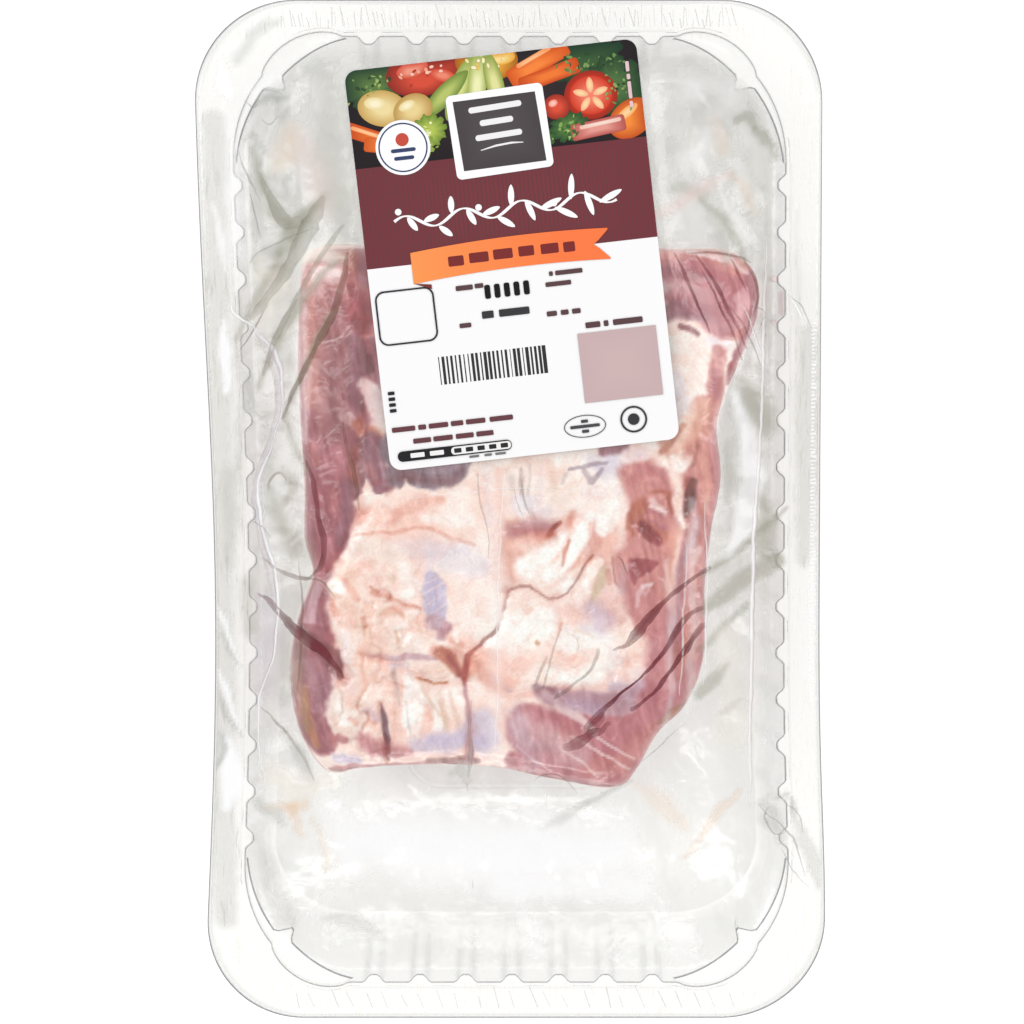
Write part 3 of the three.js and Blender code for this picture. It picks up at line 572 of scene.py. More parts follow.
# What the meat's top shows, in millimetres. The settings are strength, blur and fray
# a painted highlight on the lean
# painted shade in the gaps between the bright lobes
MEAT_STROKES = read_strokes("""
# the strip of lean down the left side
lean; 1 2 1; -45 70 10, -46 57 11, -45 43 12, -45 31, -47 20 10
lean; 1 1.6 1; -47 20 9, -47.4 8 7.4, -47.6 -4 6.6, -49 -14 4.6, -50 -21 3
salmon; .6 2.5 1; -50 62 3, -51 45, -50.6 30 2.6
rose; .7 3 1; -47 58 4, -47 40 3.4, -47 26 3
web; .5 1.4 1; -54.4 60 1, -54 45 1.6, -53.4 30 1.8, -52.6 19 1.2
pale rose; .6 1.5 1; -51 17 1.2, -49.6 12
mauve; .8 2 1; -40 43 3, -39.5 34 3.5, -39 28 2
mauve; .5 2.5 1; -47 45 1.5, -46 34 2, -45.5 24 1.5
pale rose; .75 1.5 1; -44 61 2.5, -40 55 3, -37 47 2.4
blood; .85 2 1; -41.4 58 1.2, -39.2 53 2.8, -38 47 1.8
rust; .7 1.5 1; -45 71 3.5, -42 65 2.5, -40.5 62 1
web; .9 1.4 1; -50 61 2, -46 61.6
wine; .7 .6 1; -36.5 40 1, -36 35.5 1.1
web; .85 1.2 1; -38 32.5 1.6, -35.5 29.5 2.6, -33 25 2.2
web; .6 1 1; -43 25.5 1.5, -39 21.5 1
rust; .75 1.5 1; -40 23 1.6, -36 20 2.6
blood; .35 3 1; -48 6 3, -46 0 2.4
rose; .7 2 1; -47.6 13 1.6, -44 9, -44.6 16 2
pale rose; .5 2 1; -45.6 5 1.2, -45.6 1 1
rose; .6 2 1; -46.6 -8 2, -48.6 -16 2.4
mauve; .75 1.8 1; -42 8 1.6, -42 0 2, -43 -7
plum; .7 1.4 1; -39 18 2, -38.4 11, -39.4 4 1.2
rust; .4 1.6 1; -40 16 1.4, -40 9
mauve; .95 1.2; -36 18 3, -34.6 11, -33 6.6 2.6
pale rose; .45 1.2; -36.6 12 1, -35 8 .8
dusk; .4 1; -33 12 .8, -32.4 7 .7
slate; .95 1.2; -29 17 5, -22 16 6, -15 15 5
slate; .95 1; -28.6 9.6 3.6, -22 9.4 4, -14.6 10.6 3.4
dusk; .45 2; -20 12.6 2, -14.4 12.4 1.6
plum; .3 2; -29 11 2, -25 9 1.6
fat; 1 .8 1.5; -38.4 3 1.8, -36.4 4.6 1.5, -34 1.4 2.4, -30 2.8 1.7, -27 5.6 1.4, -24 3.6 1.9, -18 3.4 2,
 -12 4.4 2.2
fat; 1 .4 .3; -37.4 8.4 .2, -37 5 1
fat; 1 .4 .3; -27.6 8.6 .2, -27 5.6 1
# fat and membranes left of the middle
blush; .5 3 1; -36 -2 3, -30 -2, -22 -1
salmon; .6 1.6; -30.6 -2.6 1.2, -28 .4 1.6, -24 2.4 1.8, -18 3.2 1.2
cream; .7 1.5; -22.4 -1.4 1.2, -16 -2.4 1.6, -11 -2 1.8
blush; .7 1.2; -38.4 -2 1.2, -36.6 1 1
salmon; .65 .5; -40 -6 .4, -30 -5.5 .5, -25 -4, -20 -5 .6, -15 -7, -10 -8.6 .5
lavender; .8 3; -28 -9 2.6, -22 -10 3.6, -14 -12 4.2, -8 -14 3
lilac; .3 2.4; -21 -10 2, -14 -10.6 1.6
ivory; .8 2; -39 -9.6 3, -34 -10 3.4, -29 -12 2.6
cream; .75 2; -27 -15 2, -26.4 -21 2.6
blush; .75 2; -37.4 -15 2.6, -34.6 -19 2.4
peach; .7 2.5 1; -43 -14 2, -41.6 -19 2.2
tan; .5 .8; -31 -17 1.4
tan; .35 .8; -35.4 -13 1
lavender; .9 1 .3; -21.4 -11.6 .6, -21.4 -16 1.6
lilac; 1 .8 .3; -20.6 -17 2, -20 -20 3.3, -19.8 -24 3.2, -19.2 -28 2
violet; .35 1.2 .3; -20 -18.6 1.6, -20.4 -22, -19.4 -26.4
web; .55 .3 .3; -22.8 -18.9 .2, -18 -16.6 .25
web; .55 .3 .3; -23 -21.4 .2, -17 -18.2 .3
web; .5 .3 .3; -22 -24.2 .2, -16.6 -21 .3
web; .4 .3 .3; -21.4 -26.4 .2, -17 -24 .3
dusk; .9 1.2; -20 -28 2, -17.4 -29.4 1.8, -18.4 -32 1.4
rose; .35 1; -16.6 -29 1.4, -18 -31 1.2
salmon; .8 .5; -36 -20.6 .5, -32 -21.4 .6, -28.6 -24 .5, -23.6 -25 .4
rust; .5 .4; -36.2 -19.4 .5, -34.2 -20.2 .4
peach; .75 1.2 1; -44.6 -22 2, -42.6 -24.6 2.4, -42 -30 3, -42.6 -33 1.6
blush; .8 1.2 1; -44.6 -27.4 1.4, -42.4 -30 1.8
cream; .95 .8; -46.2 -19.2 1.5, -43.4 -20 1.6
salmon; .75 .9; -46.4 -23.4 .8, -45.4 -26.6 1
salmon; .6 .9; -42.6 -17.8 .8, -39.8 -22.4 1
fat; .9 1.4 1; -36.4 -23.6 1.6, -33 -24.4 1.8, -35 -26.6 1.6
cream; .6 1.2 1; -33.4 -28.6 1.8, -29 -29 2.2, -30.4 -33 2.6, -25.4 -33 2.4
tan; .45 .5; -34 -26.4 .4, -29 -26.6 .5, -25 -27.4, -23 -31
salmon; .4 .5; -31 -25 .4, -27.4 -27.6 .5
rust; .7 .7; -38.2 -27.8 .8, -37.4 -29.6 1
amber; .6 .6; -37.6 -30 .7, -37.8 -34 .5
amber; .4 .5; -29.6 -31 .4, -29.2 -35 .5
ivory; .7 1.5; -36.4 -34 1.6, -31 -35.4, -24 -35.6
dusk; .85 .6; -37.6 -37 .5, -31 -37.7 .9, -24 -37.6, -19.6 -38.2 .5
# the lower left: lean, then the fat that lies over it in fingers
lean; 1 1.6 1; -54 -18 2.5, -53 -26 5, -52 -34 6, -53 -42 6.4, -52 -51 6, -50 -59 5
dusk; .7 2 1; -52.6 -20 1.6, -52 -28 2.2
mauve; .5 1.5 1; -48.2 -22 1, -48.2 -30 1.2
dusk; .45 2.4 1; -51 -40 2, -49 -50 2.4
mauve; .45 2 1; -47.6 -43 1.8, -48 -48
wine; .7 1.4; -56 -29 .7, -52.6 -33 1.3, -49 -35.6 2, -46 -38.6 2.8, -44.2 -42.4 1.5
blood; .5 1; -50 -34.4 .9, -47 -37.4
salmon; .5 1.4 1; -55.6 -40 .8, -55 -52 1.2
amber; .75 1; -53.6 -46 .8, -53 -54 1.5, -51 -61 1.1
web; .9 1; -43.2 -32 .9, -42.2 -38 1.4, -41.4 -46 1.8
ivory; .95 1 1; -45.2 -48 2.2, -44.6 -53 3.4, -42 -57.6 3.6, -39.4 -50 2.6
cream; .7 1.2 1; -44.6 -49.4 1.4, -43.2 -54 1.8, -40 -51 1.2
salmon; .55 .8; -42 -53.4 .6, -40 -54.6 .8
rose; .75 .9; -44.6 -58.6 1.2, -43 -59.4
pale rose; .6 .9; -47 -57.6 .7, -46 -60.6 .9
fat; .95 .8; -35.6 -40 2, -35 -44 2.8, -36.2 -48.6 1.6
cream; .95 .8 .4; -26.4 -42.4 1.4, -25.4 -48 2.8, -26 -55 2.6, -25.6 -58.4 1.4
cream; .85 .7 .4; -20.6 -50 1.2, -19.4 -55.6 1.5
cream; .85 .4 .3; -17 -46.6 .3, -16.4 -51 .7, -15.6 -54 .3
cream; .85 .4 .3; -14.6 -46 .4, -13.4 -51 .9, -11.6 -56 .5
tan; .55 .5 .4; -15.6 -46.6 .3, -14.8 -52 .7, -13.6 -57 .4
tan; .55 .6 .4; -18.6 -47 .4, -17.6 -53 1, -17.2 -57 .8
grey; .5 .5 .4; -30.4 -40 .8, -29.8 -44.4 .5, -29.2 -50 .3
grey; .35 .4 .4; -27.4 -49 .2, -26.8 -56 .4, -26.2 -60 .2
tan; .5 .5 .4; -23.6 -43.4 .4, -21.4 -49 .6, -19 -53 .4
lilac; .8 2.4; -25 -60.4 2, -19 -60 2.8, -14 -60 2.5, -7.5 -54 3.2, -7 -60 3.4
violet; .4 2; -21 -59.5 1.2, -16 -59, -8 -60 2
dusk; .6 1; -37.4 -51.6 .9, -34.6 -53.6 1.2
slate; .9 .4 .3; -33.5 -49.8 .2, -32.9 -54 .8, -32.2 -59, -31.7 -64.4 .4
wine; .4 .4 .3; -32.6 -58 .6, -31.8 -63 .5
rose; .7 1.8; -38.6 -59 1.6, -35.6 -61 2.4, -31 -62 1.8, -27 -62.4 1.2
lilac; .85 1; -45.6 -64.3 1.3, -40 -64.8 1.2
rose; .75 .7; -46 -67.4 .9, -40 -66.6, -30 -66.2 .8, -20 -66
umber; .75 .9; -21.6 -65 .6, -15 -65 1.4, -9 -65.6 .9
blood; .5 .7; -17 -65 .8, -11 -65.2
wine; .6 .6; -47.4 -67.8 .4, -43 -68 .6, -40 -67.2 .3
# the forked crease and the pink fat round it
blush; .85 2.4; -16 -32.6 1.6, -11 -35 2.6, -6.4 -40 4, -3 -44
salmon; .5 2; -9.4 -38.6 1.4, -7 -43 2, -1 -44.6
salmon; .5 1; -15.4 -33 .9, -12.6 -34.6
cream; .7 .6; -14.6 -31.4 .8, -14 -33.6 .5
peach; .95 1; -22 -41 1.6, -18.6 -41.6 2.4, -16.4 -42.4 1.4
amber; .7 .35 .4; -24.4 -42.8 .3, -22 -44 .4, -20 -45, -16.2 -44.4 .3
salmon; .7 1.2 .4; -20 -36 1.6, -15 -37.6 2.6, -11.4 -41 2.4, -6 -36.6 1.4
rust; .85 .9 .3; -18.4 -36.4 1.7, -16 -38.2 1.9, -13.6 -41.8 1.3
blood; .55 .7 .3; -16.6 -37.4 .6, -13.4 -41.4 .7, -12 -44 .5
rust; .9 .6 .3; -9.6 -35.8 .5, -11.2 -37.6 .9, -11.8 -41, -12 -45 .5
blood; .5 .5 .3; -11.2 -37 .5, -11.8 -42
umber; .6 .35 .3; -9.8 -35.8 .4, -6.8 -33 .5, -4 -30.4, -2.9 -27 .4
dusk; .8 .6 .3; -11.8 -45 .6, -11.4 -52 .7, -11 -59 .8, -10.8 -65 1.4
lavender; .85 1; -31 -39.4 .9, -27 -39.8
dusk; .55 .5; -5 -42.4 .4, -2 -44 .5, 0 -46.6 .6
# the middle: streaky fat below the label, a pink hollow and the bright lobes round it
ivory; .8 3; -5 10 4, 4 8 6, 12 6 5
lavender; .7 2; 3 3 2, 4.6 -1.6 2.6, 9 0 1.6
grey; .55 .4 .3; 2.2 11 .4, 2.8 5 .6, 4 1.4, 6.2 -1.4 .3
grey; .4 .4 .3; 4.4 12 .4, 4.4 4.6, 5.4 1 .3
grey; .3 .8 .3; 0 9 .8, .6 6 .6
tan; .35 1; 9.6 13 .8, 10.4 6 1
web; .8 .7; -6.4 12 .8, -5.6 2 1, -5.4 -3 .9
web; .8 .7; 6.8 12 .7, 7.8 5, 7 .4 .6
blush; .7 .9; -2.8 11 .9, -2.8 3 1, -1.6 -2 .8
lavender; .9 1.6; 21 13 2, 27 12.6 3.2, 24 9 2
lilac; .5 1.6; 26 12.6 2, 23 11 1.6
mauve; .85 .9; 24 16 1.4, 29 16.6 1.8
slate; .6 .35 .3; 14.4 11.2 .4, 19 12 .6, 24.6 12.8 .5
slate; .55 .5 .3; 18.6 11 .7, 20.6 7.8 .9, 23.6 11.2 .4
grey; .4 .5 .3; 13.6 10 .6, 12.8 7.6 .4
web; .7 1.6; 20 4.6 2, 27 5.6 1.6
blush; .75 2; 2.1 -8.8 3.6, 11.5 -9 4.4, 20.9 -11, 24.7 -2.6 3.4
pale rose; .35 4 1; 22 -4 4, 25 -14, 24 -25 5, 14 -27 3
salmon; .4 4 1; 6 -5 4, -1 -8 3, -1 -17
dusk; .75 2.4; .6 -5.4 1.9, 5.9 -4.3 2.3, 10.8 -3.5 1.4
salmon; .6 1.6; -.9 -8 1.1, -1.2 -11 1.3, -.5 -14.8 .9, .3 -17.3 .5
blush; .8 2; 2.1 -8.8 1.9, 5.1 -7.7, 7.4 -6.9 1.1
rust; .75 .6 .4; 12.5 -2.8 .5, 10.8 -4.7 .8, 9.7 -6.2 .5
salmon; .55 1.4 .4; 15.7 -.5 .8, 15.1 -3.5
cream; 1 1.2 .3; 4 -13.7 3, 7 -11.8, 10.4 -8.8 2.3, 13.4 -6.2 1.4
cream; 1 1 .3; 9.7 -17.8 3, 13 -13.7 2.1, 16.4 -8.8, 19.1 -4.3 1.9, 20.6 -.9 1.3
cream; 1 1 .3; 24 -4.3 2.1, 24.7 -1.3 3, 25.8 1.7 2.1
cream; 1 1 .3; 14.2 -19.3 2.6, 17.2 -17.1 2.9, 20.2 -14.8 2.1, 22.4 -12.9 1.3
salmon; .45 1.2 .3; 17.4 -12 .8, 13.6 -16.4 .9, 9 -19.6 .6
salmon; .45 1 .3; 22.4 -7.4 .8, 19.8 -12.6 .7, 15.8 -17 .6
salmon; .4 1.4 .3; 2.4 -11 .8, 6 -9.4 .9, 10.6 -6 .8
salmon; .75 .5 .3; 15.1 -7.3 .3, 13.8 -9.7 .7, 13.3 -11.8 .5, 12.9 -13.7 .2
blush; .8 .8 .3; 20.6 -3.1 .5, 20.2 -5.8 .3
blush; .85 1.2 .4; 25.8 -5.8 1.1, 24.3 -8.8, 25.1 -11.8 .8
umber; .5 .4 .3; 20.9 -11 .3, 18.7 -13.7, 16.8 -17.1, 14.2 -20.8, 11.5 -22.5, 8.9 -22.7, 6.3 -20.8,
 4.4 -19.3 .5, 1.4 -19.3, -.9 -20.4 .4, -1.6 -23.1, -2.4 -26.8 .5, -3.9 -30.2 .6, -5.4 -32.1 .5
tan; 1 .8 .4; 23.6 -14.8 1, 22.6 -18.2 1.4, 21.3 -21.6 1.1, 20.6 -23.6 .4
rust; .35 .8 .4; 24.5 -15.2 .7, 25.1 -18.2
umber; .6 .4 .3; 25.8 -11.8 .2, 26.1 -15.6, 26.6 -18 .3, 27.9 -19.5 .2
violet; .45 2.6; 20.9 -25 1.9, 23.2 -27.6 2.9, 22.4 -31.2 2.2
lavender; .8 1; 18.7 -29.9 .8, 22.4 -32.9 1, 25.5 -33.2 .9
cream; .9 1.6; 5.1 -25 2.3, 8.2 -26.8, 10.4 -29.1 1.4
salmon; .55 .8 .4; 13 -29.1 .6, 12.1 -31 .5
blush; .5 2; 12.7 -25.3 1.5, 15.7 -26.8 1.9
lavender; .6 1.6; 2.1 1.4 2.3, 5.1 2.9 2.1
cream; .8 2; -4 -27 1.6, 1 -30 4.2, 7 -28.6 3.6
blush; .5 1.4; 12.6 -27 1.4, 13 -31
amber; .6 .4 .3; 6.5 -33.8 .7
salmon; .7 .5; 13.2 -29.4 .6, 12.2 -32 .5
blush; .7 2; -4 -38 3, -1 -42.4, 3.6 -38 2
cream; .8 1.6 .8; 15 -33 2.8, 20 -35.6 3.4, 24 -41 2.6, 17.6 -42.4, 11 -41.6 2.2
blush; .5 1.2; 17 -38.4 1.2, 12.6 -36.4 1
tan; .45 .4; 17 -30.6 .4, 21 -32.4
web; .8 .8 1; 26 -37 1.8, 28 -40 1.6
# the lean at the lower right with its lilac field above and fine white seams
rose; 1 1.8; 5 -57 7, 14 -60 8, 24 -61 9, 30 -57 7, 35 -50 6
rose; 1 1.4; 0 -65 2, 8 -66.4 3.4, 18 -68 4, 27 -69
rose; .95 2.4; 6 -63 4, 16 -65.6 5, 28 -66 6, 36 -58 5, 44 -49 4, 49 -40
rose; .85 2; 35 -50 6, 40 -43, 44 -34, 46 -24 5
dusk; .95 1.4; 6.6 -46.6 1.8, 14 -48.6 2.2, 22 -49.6 3.4, 29 -50 2.6
slate; .5 .9; 5.6 -45.6 1, 9.4 -46.4, 12.4 -47.2 .9
violet; .4 1.4; 15 -49.6 1.6, 22 -51
web; .7 1 1; 25.6 -43 1.4, 29 -44.6 1.6, 33 -41.6 1.4
lilac; .55 1 1; 26.6 -45 1.4, 30.4 -47.4 1.6, 32.6 -44.6 1.2
mauve; .35 2.4; 3 -60 3, 9 -60
salmon; .3 3; 20 -67 3, 28 -66, 36 -57 2.6
web; .75 .8 .3; 8 -46.6 .8, 13 -50.6 1.3, 18.6 -54.6 1, 22 -57.6 .4
web; .6 .25 .3; 1 -61 .2, 5 -64.5 .3, 10.5 -67.4 .2
web; .6 .25 .3; 12 -61 .2, 18 -65 .35, 22.4 -69 .25
web; .65 .25 .3; 15 -58 .25, 22 -62 .4, 30.4 -67.2 .25
web; .65 .25 .3; 18 -56 .25, 24 -60 .4, 31.6 -64.4 .25
wine; .35 .9 .3; -5 -67 .4, 4 -68.6 .6, 14 -70.4, 26 -71.8 .5
# the right: pink fat and lean with three dark cuts
pale rose; .95 2.4; 33 10 5, 37 0 6.4, 35 -10, 33 -18 5, 37 -27 6
pale rose; .95 2; 50 26 4, 50 10 6, 49 -6 5, 47.5 -20, 47 -34
rose; .55 2; 36 -24 2.6, 40 -30 4, 38 -38
salmon; .45 2; 40 -8 2, 40 -18 2.4, 44 -27 2
rose; .7 1.4; 34 10 2, 38 9 2.6
rust; .55 1.4; 39 18 1.6, 41 15 1.8
web; .9 1.3; 30 14.6 1.6, 34 15
cream; .85 1; 41.6 14 1.2, 43.6 11.6 1.4, 45.6 14 .8
web; .6 1; 36 2.4 1.2, 38.4 -1 1.4
pale rose; .75 2; 28.5 -11.8 2.3, 28.1 -16.7 1.9, 32.2 -10.3
pale rose; .8 2; 39.4 -9.5 2.3, 39 -15.6, 36.7 -21.6 3.4, 34.1 -26.8
pale rose; .7 2; 32.2 8.5 2.3, 36 8.5 3, 39.4 7 1.5
rust; .7 1.2 .4; 33 1.4 2.4, 36 -3 3, 38.6 -6.6 2
rust; .85 .9 .4; 32.6 1.7 1.5, 30.8 -.5 1.3, 30.3 -3.5 .9, 31.3 -5.4 .5
rose; .9 .8 .4; 35.6 -.5 1.5, 37.9 -2 1.7, 39.4 -4.3 1
blood; .8 .6 .4; 33.7 -3.5 1.4, 35.6 -5.8 1.9, 37.9 -7.7 1.3
rust; .85 .5 .4; 35.8 4.8 .3, 38.2 5.4 .5, 40.1 4.8 .6, 40.3 2.5 .5, 41.2 -.5 .3
web; .75 .5 .4; 35.4 1.6 .5, 37.5 1, 39.6 -.1 .3
pale rose; .8 .5 .4; 34.5 -.9 .5, 37.9 -1.6 1, 39.2 -3.1 .6
blood; .85 .6 .3; 30.5 -12.6 .6, 32.6 -14.6 2.5, 35 -14.1 1.8, 37.4 -13.3 .7
blood; .85 .4 .3; 31.3 -15.2 1.3, 31.5 -17.8 .7, 31.5 -18.9 .2
web; .8 .6 .4; 32.2 -24 .5, 32.6 -21.6 .7, 33.7 -19.3, 36.4 -18.6 .4
web; .6 .5 .4; 34.5 -21.2 .5, 35.2 -20.1
salmon; .6 1.4 .4; 42.2 -5 1.1, 41.4 -10.3 .8, 40.7 -15.6 .9, 40.5 -19.3 .5
umber; .95 .6 .3; 46.7 7.8 1, 45.8 4 1.7, 45 1 1.3, 44.3 -1.5 .4
plum; .5 .6 .3; 46.9 5.5 .6, 46.1 1.4 .7
ivory; .9 .9 .4; 42.8 6.6 .6, 42.1 2.9 1.1, 42.9 -1.3 .9, 44.1 -3.9 .5
dusk; .6 1.2 .4; 47.7 -1.6 .9, 46.5 -8 1, 44.6 -11.8 .8, 43.1 -16.3 1, 42.6 -23.1 1.1, 41.3 -30.6
web; .65 1; 48.2 -9.9 1, 47.3 -13.7 .6
web; .5 1; 50.3 3.6 .8, 49.9 -.1 .6
dusk; .5 1.6; 29 -15 1.2, 28.4 -20 1.4
mauve; .35 .9 .4; 45 -5 .6, 43.8 -18 1, 43 -30 1.2, 43 -38 .8
umber; .6 .5 .4; 47.8 16.6 .5, 46.6 12.4
rose; .7 1 .4; 52.4 22 1.4, 53 8, 51.4 -4 1.2, 50 -20 1, 49.6 -38
salmon; .5 1.4; 49.4 16 1.2, 50.4 6, 48.8 -2 1
umber; .7 .7 .8; 37.6 -54.8 .5, 41 -53 1.5, 45.4 -50.4 .8
amber; .6 .7 .8; 39.4 -54 .9, 43 -51.6 1
rust; .4 1; 47.6 -44 .8, 45 -49 1
# the upper right corner beside the label
pale rose; 1 1.6; 36 66 5, 48 63 6, 58 60, 60 50
rose; .95 1.8; 36 60 4, 46 58 7, 56 54, 52 49 4
lean; .8 1.2; 36 61.8 1.2, 44 61.2 1.3, 51 60 1
cream; .6 2; 36 58 1.4, 43 57.6 1.8, 49 56.6 1
mauve; .85 1.6; 38 51 2, 44 52.4 3.2, 50 51.4 2.4
blood; .35 2; 53 52 2.6, 55.6 47 2
fat; 1 1.2 1; 40 42 3.4, 46 42.4 4.6, 52 40, 45 34 4, 40 33 3
cream; .6 1.2 1; 42 42.6 2.4, 48 41
wine; .7 .6; 42.6 47.6 .7, 45 46.8 .9, 47.6 45.4 .5
lavender; .8 1.4; 51 44 1.5, 55 43.4 1.4
lavender; .7 1.6; 42 34 2, 43.6 27 2.2
pale rose; .9 1; 53 42 1.8, 52.6 32 2.4, 52.6 24 2.2
rose; .75 .9; 52.8 36.6 1.2, 52.4 29 1
peach; .85 1.6; 48.6 27 2.4, 46 21 3, 42 17.6 2.4
rust; .6 .7; 44 22.4 .8, 41.4 18.6 1, 38.4 15.4 .7
blood; .7 .8; 57 38 1.3, 56.6 33.4 1.2
lean; .85 1; 61.6 60 1.6, 63.4 54 1.4, 61.4 46 1.6, 58 40 1.4
web; .7 .7; 45 66.6 .5, 56 64.8 .7, 60.6 61 .5
# broad tones, last
umber; .3 4 1; -47 57 4, -46 42 4.6, -46 24 4
dusk; .55 3 1; 1 -52 2.4, 2 -60 3, 5 -66 2
pale rose; .45 3 1; 8 -57 3, 15 -60
blush; .45 3 1; -34 -1 2.6, -28 3 3, -20 2 2.4
peach; .45 4 1; -34 -27 5, -39 -46 4
lean; .7 2 1; -50.3 -20 2.4, -51 -28 3
rose; .4 4 1; 33 -23 4, 37 -32 3
rose; .65 3 1; 42 57 2, 49 54 4, 55 50 3
salmon; .6 2.4 1; 50 28 2, 48.5 22 2.4, 46 16 2
mauve; .4 4 1; 10 -48.4 2.6, 20 -48.6 3, 29 -48
lavender; .35 4 1; 3 -56 4, 9 -60 5, 16 -63 4
rust; .3 3 1; 46 -33 2.6, 44 -42 2
""", 3, 0.6)
# Hollows: depth, blur and the stroke
MEAT_HOLLOWS = [
    (1.5, 2.2, [(-1.5, -20, 0.6), (-4, -30, 0.6), (-10, -36, 0.8), (-11.5, -45, 0.8), (-10.5, -68, 1)]),
    (1.2, 2, [(-1.5, -20, 0.6), (4, -19.5, 0.8), (9, -23, 0.5), (15, -21, 0.5), (20, -12, 0.5)]),
    (2.4, 3, [(0, -5, 2), (10, -5, 2.4), (16, -2, 1)]),
    (1.6, 3, [(-38, 50, 1), (-37, 36, 1), (-40, 14, 1), (-39, 0, 1)]),
    (1.6, 2.6, [(-39, 0, 1), (-43, -9, 1), (-48, -18, 1), (-47, -30, 1), (-44, -43, 1)]),
    (1.2, 1.6, [(-37, 7, 0.8), (-28, 9, 1.5), (-15, 8, 1.5), (-12, 11, 1)]),
    (1.2, 2, [(0, -48, 1), (9, -46, 1), (22, -45, 1), (27, -41, 1), (33, -38, 1)]),
    (2, 1.2, [(-33.5, -50, 0.3), (-32, -66, 0.6)]),
    (1.4, 1.8, [(-11, -44, 0.6), (-20, -45, 0.6), (-30, -39, 0.6), (-38, -37, 0.6)]),
    (2, 1.4, [(45.6, 8, 0.8), (45, -1, 0.8)]),
    (1.8, 1.8, [(33, -3, 1), (37, -7, 1)]),
    (1.6, 1.6, [(32, -13, 0.8), (34, -16, 0.6)]),
    (0.9, 0.8, [(-30.2, -42, 0.3), (-30.4, -56, 0.3)]),
    (0.9, 0.8, [(-21.2, -45, 0.3), (-21.4, -56, 0.3)]),
    (0.8, 0.7, [(15.2, -7, 0.3), (12.4, -13.4, 0.3)]),
    (0.8, 0.7, [(12.6, -2.4, 0.4), (9.4, -6.6, 0.3)]),
    (0.7, 1, [(-57, -28, 0.6), (-49, -36, 1), (-43.4, -44, 0.8)]),
]
# The lumpy fields of fat: centre, reach, depth of the dimples and the lumps' size
MEAT_LUMPS = [(-31, -27, 14, 1.3, 5), (-38, -53, 11, 1.4, 5), (20, -33, 13, 1, 5), (-24, -50, 10, 0.8, 6)]


def meat_depth(x, y):
    """How deep the surface lies below the smooth top."""
    xs, ys = ragged(x, y, 0.6)
    depth = 0.28 + 0.22 * clouds(x, y, 16, 21, 3)
    for deep, blur, chain in MEAT_HOLLOWS:
        depth = depth + deep * stroke_cover(xs, ys, chain, blur)
    for middle_x, middle_y, reach, deep, size in MEAT_LUMPS:
        field = np.exp(-(((x - middle_x) / reach) ** 2) - ((y - middle_y) / reach) ** 2)
        lumps = 1 - np.abs(clouds(xs, ys, size, 31 + size, 3)) * 1.6
        depth = depth + deep * field * np.clip(lumps, 0, 1) ** 1.5
    return depth


def smooth_top(share):
    """Height of the top at a share of the way to the outline; it falls away at the rim."""
    crown = MEAT_TOP - MEAT_CROWN * (np.minimum(share, MEAT_SHOULDER) / MEAT_SHOULDER) ** 4
    return crown - np.interp(share, (0.9, 0.93, 0.955, 0.975, 0.985), (0, 0.7, 1.9, 4, 6))


bearing, reach = bearing_and_reach(plan)
share = reach / np.interp(bearing, edge_bearing, edge_reach, period=2 * math.pi)
height = smooth_top(share) - meat_depth(plan[:, 0], plan[:, 1]) * np.clip((1 - share) / 0.06, 0, 1)

# The sides run down from the top's edge to the rind: [share of the outline, height]
MEAT_SIDE = (
    (0.985, 29), (0.998, 25), (1, 21), (0.998, 17), (0.99, 13), (0.975, 9), (0.955, 6), (0.92, 3.4),
    (0.88, 2.5),
)
SIDE_RINGS = 16
ring_of_grid = np.arange(GRID[0] * GRID[1]).reshape(GRID[1], GRID[0])
rim = np.concatenate([
    ring_of_grid[0, :-1], ring_of_grid[:-1, -1], ring_of_grid[-1, :0:-1], ring_of_grid[:0:-1, 0]
])
rim_plan = MEAT_CENTRE + (plan[rim] - MEAT_CENTRE) / TOP_SHARE
side_points, side_depths = [], []
way = np.linspace(0, 1, SIDE_RINGS + 1)[1:]
for step in way:
    places = np.linspace(0, 1, len(MEAT_SIDE))
    side_share, z = (np.interp(step, places, [stop[k] for stop in MEAT_SIDE]) for k in (0, 1))
    z = z + (height[rim] - MEAT_SIDE[0][1]) * (1 - step) ** 3
    bearing_in = np.arange(len(rim))
    dent = 0.006 * clouds(bearing_in * 0.5, z, 9, 41, 3) * math.sin(step * math.pi)
    places = MEAT_CENTRE + (rim_plan - MEAT_CENTRE) * (side_share - 0.003 + np.minimum(dent, 0.003))[:, None]
    side_points.append(np.stack([places[:, 0], places[:, 1], z], 1))
    side_depths.append(np.full(len(rim), step))
base_rings = [MEAT_CENTRE + (side_points[-1][:, :2] - MEAT_CENTRE) * s for s in (0.8, 0.45, 0.12)]
base_rings = [np.column_stack([ring, np.full(len(ring), MEAT_BASE)]) for ring in base_rings]
top_points = np.column_stack([plan, height])
points = np.concatenate([top_points, *side_points, *base_rings, [[*MEAT_CENTRE, MEAT_BASE]]])

cells = ring_of_grid[:-1, :-1].ravel()
faces = np.stack([cells, cells + 1, cells + 1 + GRID[0], cells + GRID[0]], 1).tolist()
count = len(rim)
start = GRID[0] * GRID[1]
following = np.roll(rim, -1)
below = start + np.arange(count)
faces += np.stack([rim, below, np.roll(below, -1), following], 1).tolist()
for i in range(SIDE_RINGS + len(base_rings) - 1):
    faces += band(start + i * count, start + (i + 1) * count, count)[:, ::-1].tolist()
last = start + (SIDE_RINGS + len(base_rings) - 1) * count
faces += [(last + i, last + count, last + (i + 1) % count) for i in range(count)]

